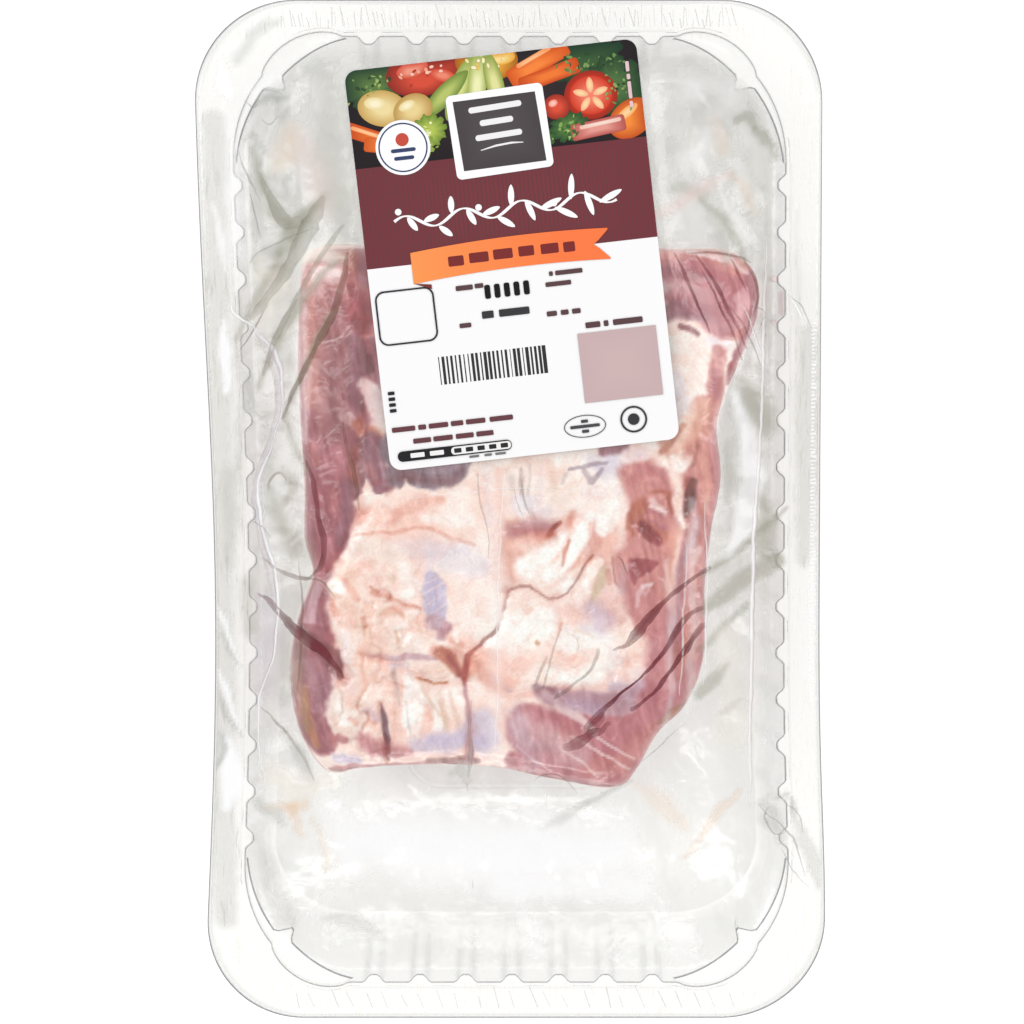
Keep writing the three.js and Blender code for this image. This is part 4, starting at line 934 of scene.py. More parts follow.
# Colour of the top from the strokes; the sides take it over and turn into layers down to the rind
spread = 2.6 * clouds(points[:, 0], points[:, 1], 22, 51, 3)[:, None]
shades = np.tile(MEAT_COLOURS["fat"], (len(points), 1))
shades += (MEAT_COLOURS["blush"] - shades) * np.clip(0.22 + 0.13 * spread, 0, 0.6)
shades += (MEAT_COLOURS["cream"] - shades) * np.clip(-0.2 * spread, 0, 0.6)
paint(points[:, 0], points[:, 1], shades, MEAT_STROKES, MEAT_COLOURS)
# height and colour of each layer, downwards
LAYERS = ((36, "rose"), (29, "lean"), (25, "fat"), (20, "blush"), (17, "mauve"), (13, "lean"), (11, "ivory"),
          (8, "fat"), (6, "rose"), (4.6, "tan"), (2, "tan"))
side = np.arange(start, len(points))
walk = np.concatenate([np.tile(np.arange(count) * 0.45, SIDE_RINGS + len(base_rings)), [0]])
level = points[side, 2]
waver = level + 2.4 * clouds(walk, level * 0.2, 20, 61, 3) + 0.5 * clouds(walk, level, 2, 62, 2)
layer_heights = [layer[0] for layer in LAYERS][::-1]
layer_colours = np.array([MEAT_COLOURS[layer[1]] for layer in LAYERS][::-1])
layered = np.stack([np.interp(waver, layer_heights, layer_colours[:, k]) for k in range(3)], 1)
blend = np.clip((30 - level) / 6, 0, 0.9)[:, None]
shades[side] += (layered - shades[side]) * blend

# Mottling: fibres in the lean and grain in the fat, then painted shade that darkens the hollows
x, y = points[:, 0], points[:, 1]
leanness = np.clip((0.86 - shades[:, 1]) / 0.3, 0, 1)
fatness = (1 - leanness) * np.clip((shades[:, 0] - 0.84) / 0.1, 0, 1)
frayed_x, frayed_y = ragged(x, y, 1.6)
for name, most, field, low, high in (
    ("cream", 0.4, clouds(frayed_x, frayed_y * 0.8, 10, 73, 4), 0.1, 0.4),
    ("blush", 0.32, clouds(frayed_x * 0.8, frayed_y, 8, 74, 4), 0.25, 0.6),
    ("ivory", 0.3, clouds(frayed_x, frayed_y, 6, 75, 3), 0.3, 0.7),
    ("salmon", 0.16, -np.abs(clouds(frayed_x, frayed_y * 0.7, 9, 76, 3)), -0.07, -0.01),
    ("cream", 0.35, -np.abs(clouds(frayed_x * 0.8, frayed_y, 7, 77, 3)), -0.09, -0.02),
):
    cover = most * fatness * np.clip((field - low) / (high - low), 0, 1)
    shades += (MEAT_COLOURS[name] - shades) * cover[:, None]
fibre = clouds(x * 1.6 + y * 0.35, y * 0.3 - x * 0.1, 1.4, 71, 3) * leanness
seam = np.clip(1 - 9 * np.abs(clouds(frayed_x * 0.9 + y * 0.2, frayed_y * 0.5, 12, 78, 3)), 0, 1) * leanness
grain = clouds(x, y, 2.4, 72, 4)
shades += (0.06 * fibre + 0.02 * grain + 0.07 * seam)[:, None] * (0.9, 1.1, 1.05)
shades += 0.13 * (shades - (0.9, 0.8, 0.78))  # deeper contrast
# painted shade: the top darkens where it lies deep in a hollow
shades[:start] -= (0.1 * np.clip(meat_depth(plan[:, 0], plan[:, 1]) - 0.6, 0, 2))[:, None] * (0.4, 1.1, 1.2)

# Wet pork fat and lean: soft waxy colour from the painted layers, fine fibre and grain in the
# bump, and a film of juice that gives small sharp lights
flesh, tree = new_material("raw pork fat and lean, wet")
tissue = add_node(tree, "ShaderNodeAttribute", {"attribute_name": "tissue"})
place = add_node(tree, "ShaderNodeTexCoord").outputs["Object"]
pores = add_node(
    tree, "ShaderNodeTexNoise", {"Scale": 1 / (1.3 * MM), "Detail": 4, "Roughness": 0.6}, {"Vector": place}
)
speck = add_node(tree, "ShaderNodeTexNoise", {"Scale": 1 / (0.7 * MM), "Detail": 2}, {"Vector": place})
tint = add_node(
    tree, "ShaderNodeMapRange", {"From Min": 0.3, "From Max": 0.7, "To Min": 0.94, "To Max": 1.05},
    {"Value": speck},
)
patch = add_node(
    tree, "ShaderNodeTexNoise", {"Scale": 1 / (5 * MM), "Detail": 6, "Distortion": 1}, {"Vector": place}
)
pale = add_node(
    tree, "ShaderNodeMapRange", {"From Min": 0.53, "From Max": 0.6, "To Min": 1, "To Max": 1.035},
    {"Value": patch},
)
bloody = add_node(
    tree, "ShaderNodeMapRange", {"From Min": 0.45, "From Max": 0.37, "To Min": 0, "To Max": 0.3},
    {"Value": patch},
)
mottle = add_node(tree, "ShaderNodeMath", {"operation": "MULTIPLY"}, {0: tint, 1: pale})
reddened = add_node(
    tree, "ShaderNodeMix", {"data_type": "RGBA", "blend_type": "MULTIPLY", 7: colour("#f8d8cd")},
    {0: bloody, 6: tissue.outputs["Color"]},
)
tinted = add_node(
    tree, "ShaderNodeVectorMath", {"operation": "SCALE"}, {0: reddened.outputs[2], "Scale": mottle}
)
relief = add_node(tree, "ShaderNodeBump", {"Strength": 0.25, "Distance": 0.3 * MM}, {"Height": pores})
wet = add_node(
    tree,
    "ShaderNodeBsdfPrincipled",
    {"Roughness": 0.42, "IOR": 1.4, "Specular IOR Level": 0.4, "Coat Weight": 0.25, "Coat Roughness": 0.12},
    {"Base Color": tinted, "Normal": relief},
)
set_surface(tree, wet)

meat = new_object("pork_belly_slab", points + SHIFT, faces, flesh)
set_values(meat, "tissue", to_linear(shades))
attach(meat, "root")
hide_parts("pork_belly")


# ---- Film lid ----
# Clear barrier film, sealed to the flange and drawn down by the vacuum: it clings to the meat,
# hangs across the well round it and is stiffened by the label stuck on it.
FILM_RIM_INSET = 0.6
FILM_LIP_INSET = 12.4  # where the film leaves the flange
FILM_SEAL = 40.3
FILM_SHEET = 0.12
FILM_CLEARANCE = 0.5
FILM_MOST_SAG = 13
FILM_PARTING = 0.97  # share of the meat's outline at which the film leaves it
FILM_FALL = 1.8  # how far it has come down over the meat's edge by then
FILM_LIFT = 0.3  # its upper face above the height it is held at
LABEL_SIZE = np.array((74.6, 102.8))
LABEL_SHEET = 0.3
LABEL_LIFT = 0.7
LABEL_RADIUS = 3
LABEL_CENTRE = np.array((0.2, 66))
LABEL_TURN = math.radians(6.5)
LABEL_LOW_Y = 15  # its lower edge lies on the meat, its upper edge at the flange
LABEL_HIGH_Y = 118.5
FILM_COLUMNS = 176
FILM_CORNER_ROWS = 34
FILM_STEP = 1.0

lip_plan = np.stack(ring_plan(FILM_LIP_INSET, FILM_LIP_INSET), 1)
lip_bearing, lip_reach = bearing_and_reach(lip_plan)
in_order = np.argsort(lip_bearing)
lip_bearing, lip_reach = lip_bearing[in_order], lip_reach[in_order]
label_slope = (FILM_SEAL - MEAT_TOP - FILM_CLEARANCE) / (LABEL_HIGH_Y - LABEL_LOW_Y)


def eased(value, low, high):
    t = np.clip((value - low) / (high - low), 0, 1)
    return t * t * (3 - 2 * t)


def label_height(y):
    """Height of the label's lower face."""
    return MEAT_TOP + FILM_CLEARANCE + LABEL_LIFT + label_slope * (y - LABEL_LOW_Y)


def film_height(x, y):
    """Height of the film's upper face at places of the unshifted plan."""
    away = np.stack([x, y], -1)
    bearing, reach = bearing_and_reach(away.reshape(-1, 2))
    bearing, reach = bearing.reshape(x.shape), reach.reshape(x.shape)
    lip = np.interp(bearing, lip_bearing, lip_reach, period=2 * math.pi)
    edge = sum(np.interp(bearing + turn, edge_bearing, edge_reach, period=2 * math.pi)
               for turn in (-0.05, -0.025, 0, 0.025, 0.05)) / 5
    share = reach / edge
    crown = MEAT_TOP - MEAT_CROWN * (np.minimum(share, MEAT_SHOULDER) / MEAT_SHOULDER) ** 4
    shoulder = MEAT_TOP - MEAT_CROWN
    edge_height = shoulder - FILM_FALL
    on_meat = crown - FILM_FALL * eased(share, MEAT_SHOULDER, FILM_PARTING)
    on_meat = on_meat - 0.6 * meat_depth(x, y) * eased(share, FILM_PARTING, MEAT_SHOULDER)
    span = np.maximum(lip - FILM_PARTING * edge, 1)
    s = np.clip((reach - FILM_PARTING * edge) / span, 0, 1)
    sag = 4 * s * (1 - s) * np.minimum(0.004 * span**2, FILM_MOST_SAG)
    straight = edge_height + (FILM_SEAL - FILM_CLEARANCE - edge_height) * s
    folds = 1 - 2 * np.abs(clouds(x * 0.55 + y * 0.2, y * 0.4 - x * 0.2, 8, 81, 3))
    over_well = straight - sag + 0.55 * folds * np.sin(math.pi * s)
    height = np.where(share < FILM_PARTING, on_meat, over_well)
    across = (x - LABEL_CENTRE[0]) * math.cos(LABEL_TURN) + (y - LABEL_CENTRE[1]) * math.sin(LABEL_TURN)
    up = (y - LABEL_CENTRE[1]) * math.cos(LABEL_TURN) - (x - LABEL_CENTRE[0]) * math.sin(LABEL_TURN)
    out = np.hypot(
        np.maximum(np.abs(across) - LABEL_SIZE[0] / 2, 0), np.maximum(np.abs(up) - LABEL_SIZE[1] / 2, 0)
    )
    held = 1 - eased(out, 1, 18)
    height = height + (label_height(y) - LABEL_LIFT - FILM_CLEARANCE - height) * held
    return height + FILM_CLEARANCE + FILM_LIFT


straight_end = HALF_LENGTH - FLANGE_CORNER_RADIUS
rim_radius = FLANGE_CORNER_RADIUS - FILM_RIM_INSET
corner_rows = np.sin(np.linspace(0, math.pi / 2, FILM_CORNER_ROWS)) * rim_radius
middle_rows = np.arange(-straight_end + FILM_STEP / 2, straight_end, FILM_STEP)
rows = np.concatenate([-straight_end - corner_rows[::-1], middle_rows, straight_end + corner_rows])
over = np.clip(np.abs(rows) - straight_end, 0, None)
half_widths = HALF_WIDTH - FLANGE_CORNER_RADIUS + np.sqrt(np.maximum(rim_radius**2 - over**2, 0))
x = np.linspace(-1, 1, FILM_COLUMNS)[None, :] * half_widths[:, None]
y = np.repeat(rows[:, None], FILM_COLUMNS, 1)
film_x, film_y = (values.ravel() for values in pulled(x, y))
upper = np.stack([film_x, film_y, film_height(film_x, film_y)], 1)
lower = upper - (0, 0, FILM_SHEET)
count = len(upper)
net = np.arange(count).reshape(len(rows), FILM_COLUMNS)
cells = np.stack([net[:-1, :-1], net[:-1, 1:], net[1:, 1:], net[1:, :-1]], -1).reshape(-1, 4)
hem = np.concatenate([net[0, :-1], net[:-1, -1], net[-1, :0:-1], net[:0:-1, 0]])
walls = np.stack([hem, hem + count, np.roll(hem, -1) + count, np.roll(hem, -1)], 1)
faces = np.concatenate([cells, cells[:, ::-1] + count, walls]).tolist()


PHOTO_MIDDLE = (511, 512)  # the pixel that shows the plan's middle, 1024 pixels to the picture
PIXELS_A_MM = 3.9


def seen_at(places):
    """Plan places of (x pixel, y pixel, radius) read off the picture."""
    middle_x, middle_y = PHOTO_MIDDLE
    return [((px - middle_x) / PIXELS_A_MM, (middle_y - py) / PIXELS_A_MM, *rest) for px, py, *rest in places]


FILM_COLOURS = {name: srgb(code) for name, code in {
    "white": "#ffffff", "smoke": "#9fa19b", "olive": "#9b9987", "dull": "#c3c2b9", "bark": "#76604f",
    "maroon": "#70333b", "amber": "#efcfae", "cream": "#f6efe0", "lilac": "#dcd2e0", "pink": "#ecc9c2",
}.items()}
# What shows in the film itself, in pixels of the picture, with a radius in millimetres: folds,
# doubled film, juice and painted light: glare, white painted highlights, and grey and olive patches of
# painted reflection where the film mirrors darker surroundings. The settings are opacity, blur and fray
# painted reflection over the meat, a pale haze
# the flange: painted grey reflection at the left with streaks of painted highlight, clear elsewhere but for a
# pale patch
FILM_STROKES = read_strokes("""
# upper left: frosty corner, the forked fold and amber juice
white; .5 2; 250 95 1, 272 82 2, 290 108 1
smoke; .5 1; 252 112 .5, 263 95 .9, 284 99 .7
smoke; .45 .8; 244 140 .3, 254 132 .7, 263 150 .5, 257 172 .3
smoke; .35 1; 272 100 .4, 283 118 .8, 288 108 .5
olive; .6 1.2 .4; 252 148 .6, 262 182 1.2, 275 212 1.8, 287 224 1.4
olive; .62 1.2 .4; 323 196 .7, 305 214 1.8, 292 224 2.2, 279 250 1.4
olive; .6 1 .4; 314 205 1, 292 240 1.4, 270 276 1.3, 252 306 1, 237 338 .5
dull; .6 1 .4; 285 240 1, 268 248 1.2, 254 262 .6
amber; .4 3; 290 130 1.6, 284 152 2.6, 276 166 1
pink; .3 3; 302 140 3, 320 180 4, 322 205 2
cream; .4 3; 258 270 2, 282 278 2.6, 262 320 2
white; .4 2.4; 225 120 2, 233 190 2.4, 238 250 1.6
dull; .5 3; 330 80 3, 328 150 4, 338 200 3
# left: two long folds, the grey band that runs over the lean and the pouch below it
olive; .6 .9 .4; 334 258 .7, 316 280 1, 298 304 1.1, 276 340, 258 384 .6
olive; .55 .8 .4; 330 312 .5, 313 346 .9, 297 382, 283 416 .7, 292 442, 306 474 .6
dull; .7 1.6 .4; 272 440 .8, 266 480 1.6, 276 520, 292 556 1
olive; .5 1.4 .4; 280 470 .8, 292 486 1.4, 284 500 .8
olive; .45 2 .6; 278 516 1.6, 298 544 1.8, 308 560 1
dull; .55 2.4 .6; 280 636 1.6, 284 670 2.4, 280 700 1.6
lilac; .4 3 .6; 266 600 2, 270 640 2.6, 262 690 2
olive; .4 2 .6; 300 640 1, 297 690 1.4, 304 730 1
dull; .6 1.2 .6; 280 730 .6, 295 758 1.6, 310 788 .8
dull; .55 1.2; 255 802 1, 266 812 1.6, 279 824 .7
cream; .55 3; 270 772 2, 292 796 3, 330 786 2
amber; .5 1.2; 272 808 .8, 288 812 1.6, 304 808 .8
amber; .5 1; 288 810 1.4, 297 842 .4
amber; .35 1; 308 824 .5, 318 858 .9, 322 882 .5
dull; .35 3; 252 840 1, 268 880 3, 282 920 2
# the left well under the flange: vertical grey blotches
dull; .5 2; 238 300 .8, 240 400 1.4, 236 520 1
smoke; .35 1.4; 246 372 .8, 250 402 1
olive; .35 2.4; 246 580 1.6, 250 625
# upper right: grey scraps beside the label and the fold that runs down to the meat
dull; .75 .7; 705 124 .5, 716 122 1, 724 128 .4
olive; .5 .7; 733 120 1, 744 118 1.8, 752 130 .8
olive; .5 .7; 750 132 .8, 762 138 1.4, 770 146 1.2, 772 158 .5
dull; .7 1 .6; 668 190 1, 682 188 1.6, 703 196 1.2
olive; .5 .8 .6; 700 200 .6, 721 216 1.3, 737 244 1.2, 744 266 .5
dull; .6 1 .6; 706 214 .6, 722 240 1.4, 728 262 .6
amber; .3 1.6; 712 122 1.4, 720 148 1.6
amber; .3 1.2; 730 170 .8, 742 184 1.4, 751 210 .7
pink; .4 1.4 .6; 654 215 1, 690 196 1.4, 727 173 .8
white; .45 3; 690 90 3, 730 90, 690 160 2
# right: bands that sweep from the wall over the lean
dull; .75 1.4 .4; 740 380 1.4, 756 400 4, 764 424 3
olive; .35 2.4 .6; 750 395 2, 764 420
dull; .75 .7 .4; 726 440 .5, 728 470 1.3, 728 502 .8
olive; .45 1 .4; 758 496 1.2, 768 520 2.6, 766 550, 778 560 1
olive; .6 .7 .4; 784 505 .4, 756 534 1, 728 560 .7, 702 576 .6
olive; .52 1 .4; 776 560 2.2, 744 580, 722 598 2, 704 612 1.4
olive; .45 .8 .4; 748 604 .8, 724 630, 702 652 .7
olive; .5 .9 .4; 728 666 .8, 712 684 1.7, 698 698 1.4
dull; .5 .7 .6; 742 700 .5, 730 712 .9, 722 718 .4
white; .55 1 .4; 732 392 .8, 746 430 2.4, 752 480 3, 744 524 2.6, 730 556 1
cream; .3 4; 730 640 3, 735 740 4
# lower right: juice, a grey wedge and crumpled film
amber; .4 1 .6; 742 795 .6, 721 818 1.2, 706 842 1, 686 868 .5
amber; .3 2 .6; 636 790 .6, 664 812 2.4, 684 836 1.6
dull; .6 .7 .4; 632 785 .3, 590 808 1, 562 828 1.2, 540 838 .4
dull; .55 1.4; 764 806 .8, 772 820 1.8, 784 838 1.2
smoke; .4 .8; 770 800 .4, 784 796 .8, 794 812 .5
dull; .45 1 .6; 322 926 .6, 350 932 2.2, 380 940 .6
dull; .5 1; 448 776 .6, 461 772 1.6, 468 788 1
# glare on the bare floor below the meat
white; .75 6; 350 850 5, 420 856 9, 520 862, 610 858 7
white; .6 3; 330 812 1.6, 352 880 2.6
white; .6 2; 500 900 3, 640 902
# the flange: grey at the left with glossy streaks, clear elsewhere but for a pale patch
dull; .4 1.4 .4; 216 120 3, 217 400 3.4, 220 700 3.6, 222 920 3.2
dull; .45 2 .4; 228 470 1.6, 229 560
white; .9 .6 .6; 222 60 .4, 226 84 2, 232 96 .6
white; .8 .8 .6; 214 200 .3, 222 236 1, 226 270 .3
white; .9 .7 .6; 222 318 .5, 227 350 1.7, 224 392 .8
white; .85 .5 .4; 214 600 .3, 222 622 1, 238 668 .5
white; .85 .5 .4; 214 668 .3, 224 690 .9, 236 726 .4
white; .95 1.2 .4; 226 742 1.4, 230 780 3, 226 806 1.4
smoke; .4 .5 .4; 219 620 .2, 226 648 .8, 240 668 .2
smoke; .4 .5 .4; 216 690 .2, 225 716 .8, 240 736 .2
smoke; .45 .6 .4; 218 730 .3, 222 748 1.2, 216 768 .4
dull; .45 1.6 .4; 806 334 2.6, 806 400 3.6, 806 470 3.4, 803 560 1.6
dull; .25 1 .4; 795 210 .4, 795 330 .6
dull; .4 .8; 786 800 .4, 800 830 1.4, 814 868 2, 818 890 .8
smoke; .3 1.4; 238 62 1, 252 36 1.4, 275 20 1
# haze over the meat
cream; .6 1.6 .6; 304 256 1.6, 322 252 2.2, 340 254 1
white; .22 3 .6; 500 480 2, 497 600 1.8, 495 760 2
white; .3 1 .6; 690 500 .8, 694 640 1.2, 688 720 .8
white; .3 1 .6; 668 560 .5, 672 690 .8, 664 740 .5
""", 3, 1)


def film_shades(x, y):
    """Colour and opacity of the film at places of the plan: juice, and painted reflections, highlights and
    shade.
    """
    juice_and_painted_light = np.tile(FILM_COLOURS["cream"], (len(x), 1))
    juice_and_light_cover = 0.02 + 0 * x
    xs = {fray: ragged(x, y, fray) for fray in (0.4, 0.6, 1)}
    # wrinkles run along the pull of the film, from the meat out to the rim; they are painted as grey and
    # olive painted shade and reflection and as white painted highlights, greyer towards the far end
    bearing, reach = bearing_and_reach(np.stack([x, y], 1))
    wells = eased(reach / np.interp(bearing, edge_bearing, edge_reach, period=2 * math.pi), 0.97, 1.03)
    wells = wells * eased(reach / np.interp(bearing, lip_bearing, lip_reach, period=2 * math.pi), 1.01, 0.97)
    far_end = eased(y, -75, 30)
    streaks = clouds(x * 0.9 + y * 0.3, y * 0.35 - x * 0.3, 5, 91, 4)
    blotches = clouds(x, y * 0.6, 14, 92, 3)
    layers = [
        (FILM_COLOURS["dull"], (0.08 + 0.27 * far_end) * wells),
        (FILM_COLOURS["smoke"], (0.04 + 0.1 * far_end) * eased(streaks, 0.3, 0.5) * wells),
        (FILM_COLOURS["white"], 0.22 * eased(-streaks, 0.35, 0.6) * wells),
        (FILM_COLOURS["olive"], (0.02 + 0.1 * far_end) * eased(blotches, 0.2, 0.45) * wells),
    ]
    for name, strength, blur, fray, chain in FILM_STROKES:
        layers.append((FILM_COLOURS[name], strength * stroke_cover(*xs[fray], seen_at(chain), blur)))
    for shade, cover in layers:
        total = juice_and_light_cover + cover - juice_and_light_cover * cover
        part = (cover / np.maximum(total, 1e-6))[:, None]
        juice_and_painted_light = juice_and_painted_light + (shade - juice_and_painted_light) * part
        juice_and_light_cover = total
    return juice_and_painted_light, juice_and_light_cover


# Barrier film, 0.12 mm: clear, with juice, doubled folds and painted light (reflections,
# highlights and shade) as colour and opacity, fine creases in the bump, and pressed lines across the seal on
# the flange
film, tree = new_material("clear barrier film, heat sealed")
juice_and_painted_light = add_node(tree, "ShaderNodeAttribute", {"attribute_name": "juice_and_painted_light"})
juice_and_light_cover = add_node(tree, "ShaderNodeAttribute", {"attribute_name": "juice_and_light_cover"})
seal = add_node(tree, "ShaderNodeAttribute", {"attribute_name": "seal"})
place = add_node(tree, "ShaderNodeTexCoord").outputs["Object"]
across_rim = add_node(
    tree, "ShaderNodeMapping", {"Scale": (1 / (0.9 * MM), 1 / (9 * MM), 1)}, {"Vector": place}
)
pressed = add_node(tree, "ShaderNodeTexNoise", {"Scale": 1, "Detail": 3}, {"Vector": across_rim})
creased = add_node(
    tree, "ShaderNodeTexNoise", {"Scale": 1 / (7 * MM), "Detail": 4, "Distortion": 1.4}, {"Vector": place}
)
line = add_node(
    tree, "ShaderNodeMapRange", {"From Min": 0.56, "From Max": 0.72, "To Min": 0, "To Max": 0.34},
    {"Value": pressed},
)
sealed = add_node(tree, "ShaderNodeMath", {"operation": "MULTIPLY"}, {0: line, 1: seal.outputs["Fac"]})
opacity = add_node(tree, "ShaderNodeMath", {"operation": "ADD"}, {0: juice_and_light_cover.outputs["Fac"], 1: sealed})
relief = add_node(tree, "ShaderNodeBump", {"Strength": 0.5, "Distance": 0.8 * MM}, {"Height": creased})
clear = add_node(tree, "ShaderNodeBsdfTransparent", {"Color": colour("#ffffff")})
painted_tint_and_light = add_node(tree, "ShaderNodeBsdfDiffuse", links={"Color": juice_and_painted_light.outputs["Color"]})
body = add_node(tree, "ShaderNodeMixShader", links={0: opacity, 1: clear, 2: painted_tint_and_light})
edge_on = add_node(tree, "ShaderNodeLayerWeight", {"Blend": 0.5})
add_gloss(tree, body, edge_on, relief, 0.14, 4, 0.04)
shades, juice_and_light_covers = film_shades(film_x, film_y)
to_rim = np.minimum(HALF_LENGTH - np.abs(film_y), HALF_WIDTH - np.abs(x.ravel()))
lid = new_object("film_lid", np.concatenate([upper, lower]) + SHIFT, faces, film)
set_values(lid, "juice_and_painted_light", to_linear(np.concatenate([shades, np.tile(FILM_COLOURS["white"], (count, 1))])))
set_values(lid, "juice_and_light_cover", np.concatenate([juice_and_light_covers, np.full(count, 0.01)]))
set_values(lid, "seal", np.concatenate([eased(to_rim, 11, 8), np.zeros(count)]))
let_light_in(lid)
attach(lid, "root")
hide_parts("lid_film")


# ---- Label ----
# A rounded label of white coated paper, stuck flat on the film with its lower edge over the meat.
# The film stays flat behind it, so it slopes up from the meat to the flange.
PAPER_TOP = LABEL_SHEET - 0.07  # the ink takes the rest
label_tilt = math.atan(label_slope)


def on_label(local):
    """Label-local millimetres (right, up, above the lower face) to the pack's plan and height."""
    local = np.asarray(local, float)
    u = local[:, 0] * math.cos(LABEL_TURN) - local[:, 1] * math.sin(LABEL_TURN)
    v = local[:, 0] * math.sin(LABEL_TURN) + local[:, 1] * math.cos(LABEL_TURN)
    w = local[:, 2]
    return np.stack([
        LABEL_CENTRE[0] + u,
        LABEL_CENTRE[1] + v * math.cos(label_tilt) - w * math.sin(label_tilt),
        label_height(LABEL_CENTRE[1]) + v * math.sin(label_tilt) + w * math.cos(label_tilt),
    ], 1)


def rounded_box(centre, size, radius, steps=6):
    """Corner points of a rounded rectangle, anticlockwise."""
    turns = np.concatenate([np.linspace(k, k + 1, steps + 1) for k in range(4)]) * math.pi / 2
    sign_x = np.repeat((1, -1, -1, 1), steps + 1)
    sign_y = np.repeat((1, 1, -1, -1), steps + 1)
    x = centre[0] + sign_x * (size[0] / 2 - radius) + radius * np.cos(turns)
    y = centre[1] + sign_y * (size[1] / 2 - radius) + radius * np.sin(turns)
    return np.stack([x, y], 1)


paper, tree = new_material("white coated paper")
coated = add_node(tree, "ShaderNodeBsdfPrincipled", {"Base Color": colour("#fbfafa"), "Roughness": 0.6})
set_surface(tree, coated)
ring = rounded_box((0, 0), LABEL_SIZE, LABEL_RADIUS)
count = len(ring)
points = np.concatenate([np.column_stack([ring, np.full(count, w)]) for w in (0, PAPER_TOP)])
faces = [tuple(range(count - 1, -1, -1)), tuple(range(count, 2 * count))]
faces += band(0, count, count).tolist()
sheet = new_object("paper_label", on_label(points) + SHIFT, faces, paper, smooth=False)
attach(sheet, "root")
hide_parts("label")


# ---- Film folds ----
# Sharp folds of the lid film, doubled over themselves: thin lens-shaped ribs that lie on the
# film and run out to points. Dark ones let the lean show deeper, pale ones catch the light.
FOLD_STEP = 0.7
FOLD_THICKNESS = 0.1


def smooth_path(path):
    """Points at even steps along a curve through the given ones."""
    path = np.asarray(path, float)
    knots = np.concatenate([[0], np.cumsum(np.linalg.norm(np.diff(path[:, :2], axis=0), axis=1))])
    places = np.linspace(0, knots[-1], max(6, int(knots[-1] / FOLD_STEP)))
    ends = np.concatenate([2 * path[:1] - path[1:2], path, 2 * path[-1:] - path[-2:-1]])
    leave = (ends[2:] - ends[:-2]) / 2
    i = np.clip(np.searchsorted(knots, places, "right") - 1, 0, len(path) - 2)
    t = ((places - knots[i]) / (knots[i + 1] - knots[i]))[:, None]
    bend = 3 * (path[i + 1] - path[i]) - 2 * leave[i] - leave[i + 1]
    turn = leave[i] + leave[i + 1] - 2 * (path[i + 1] - path[i])
    return path[i] + leave[i] * t + bend * t**2 + turn * t**3
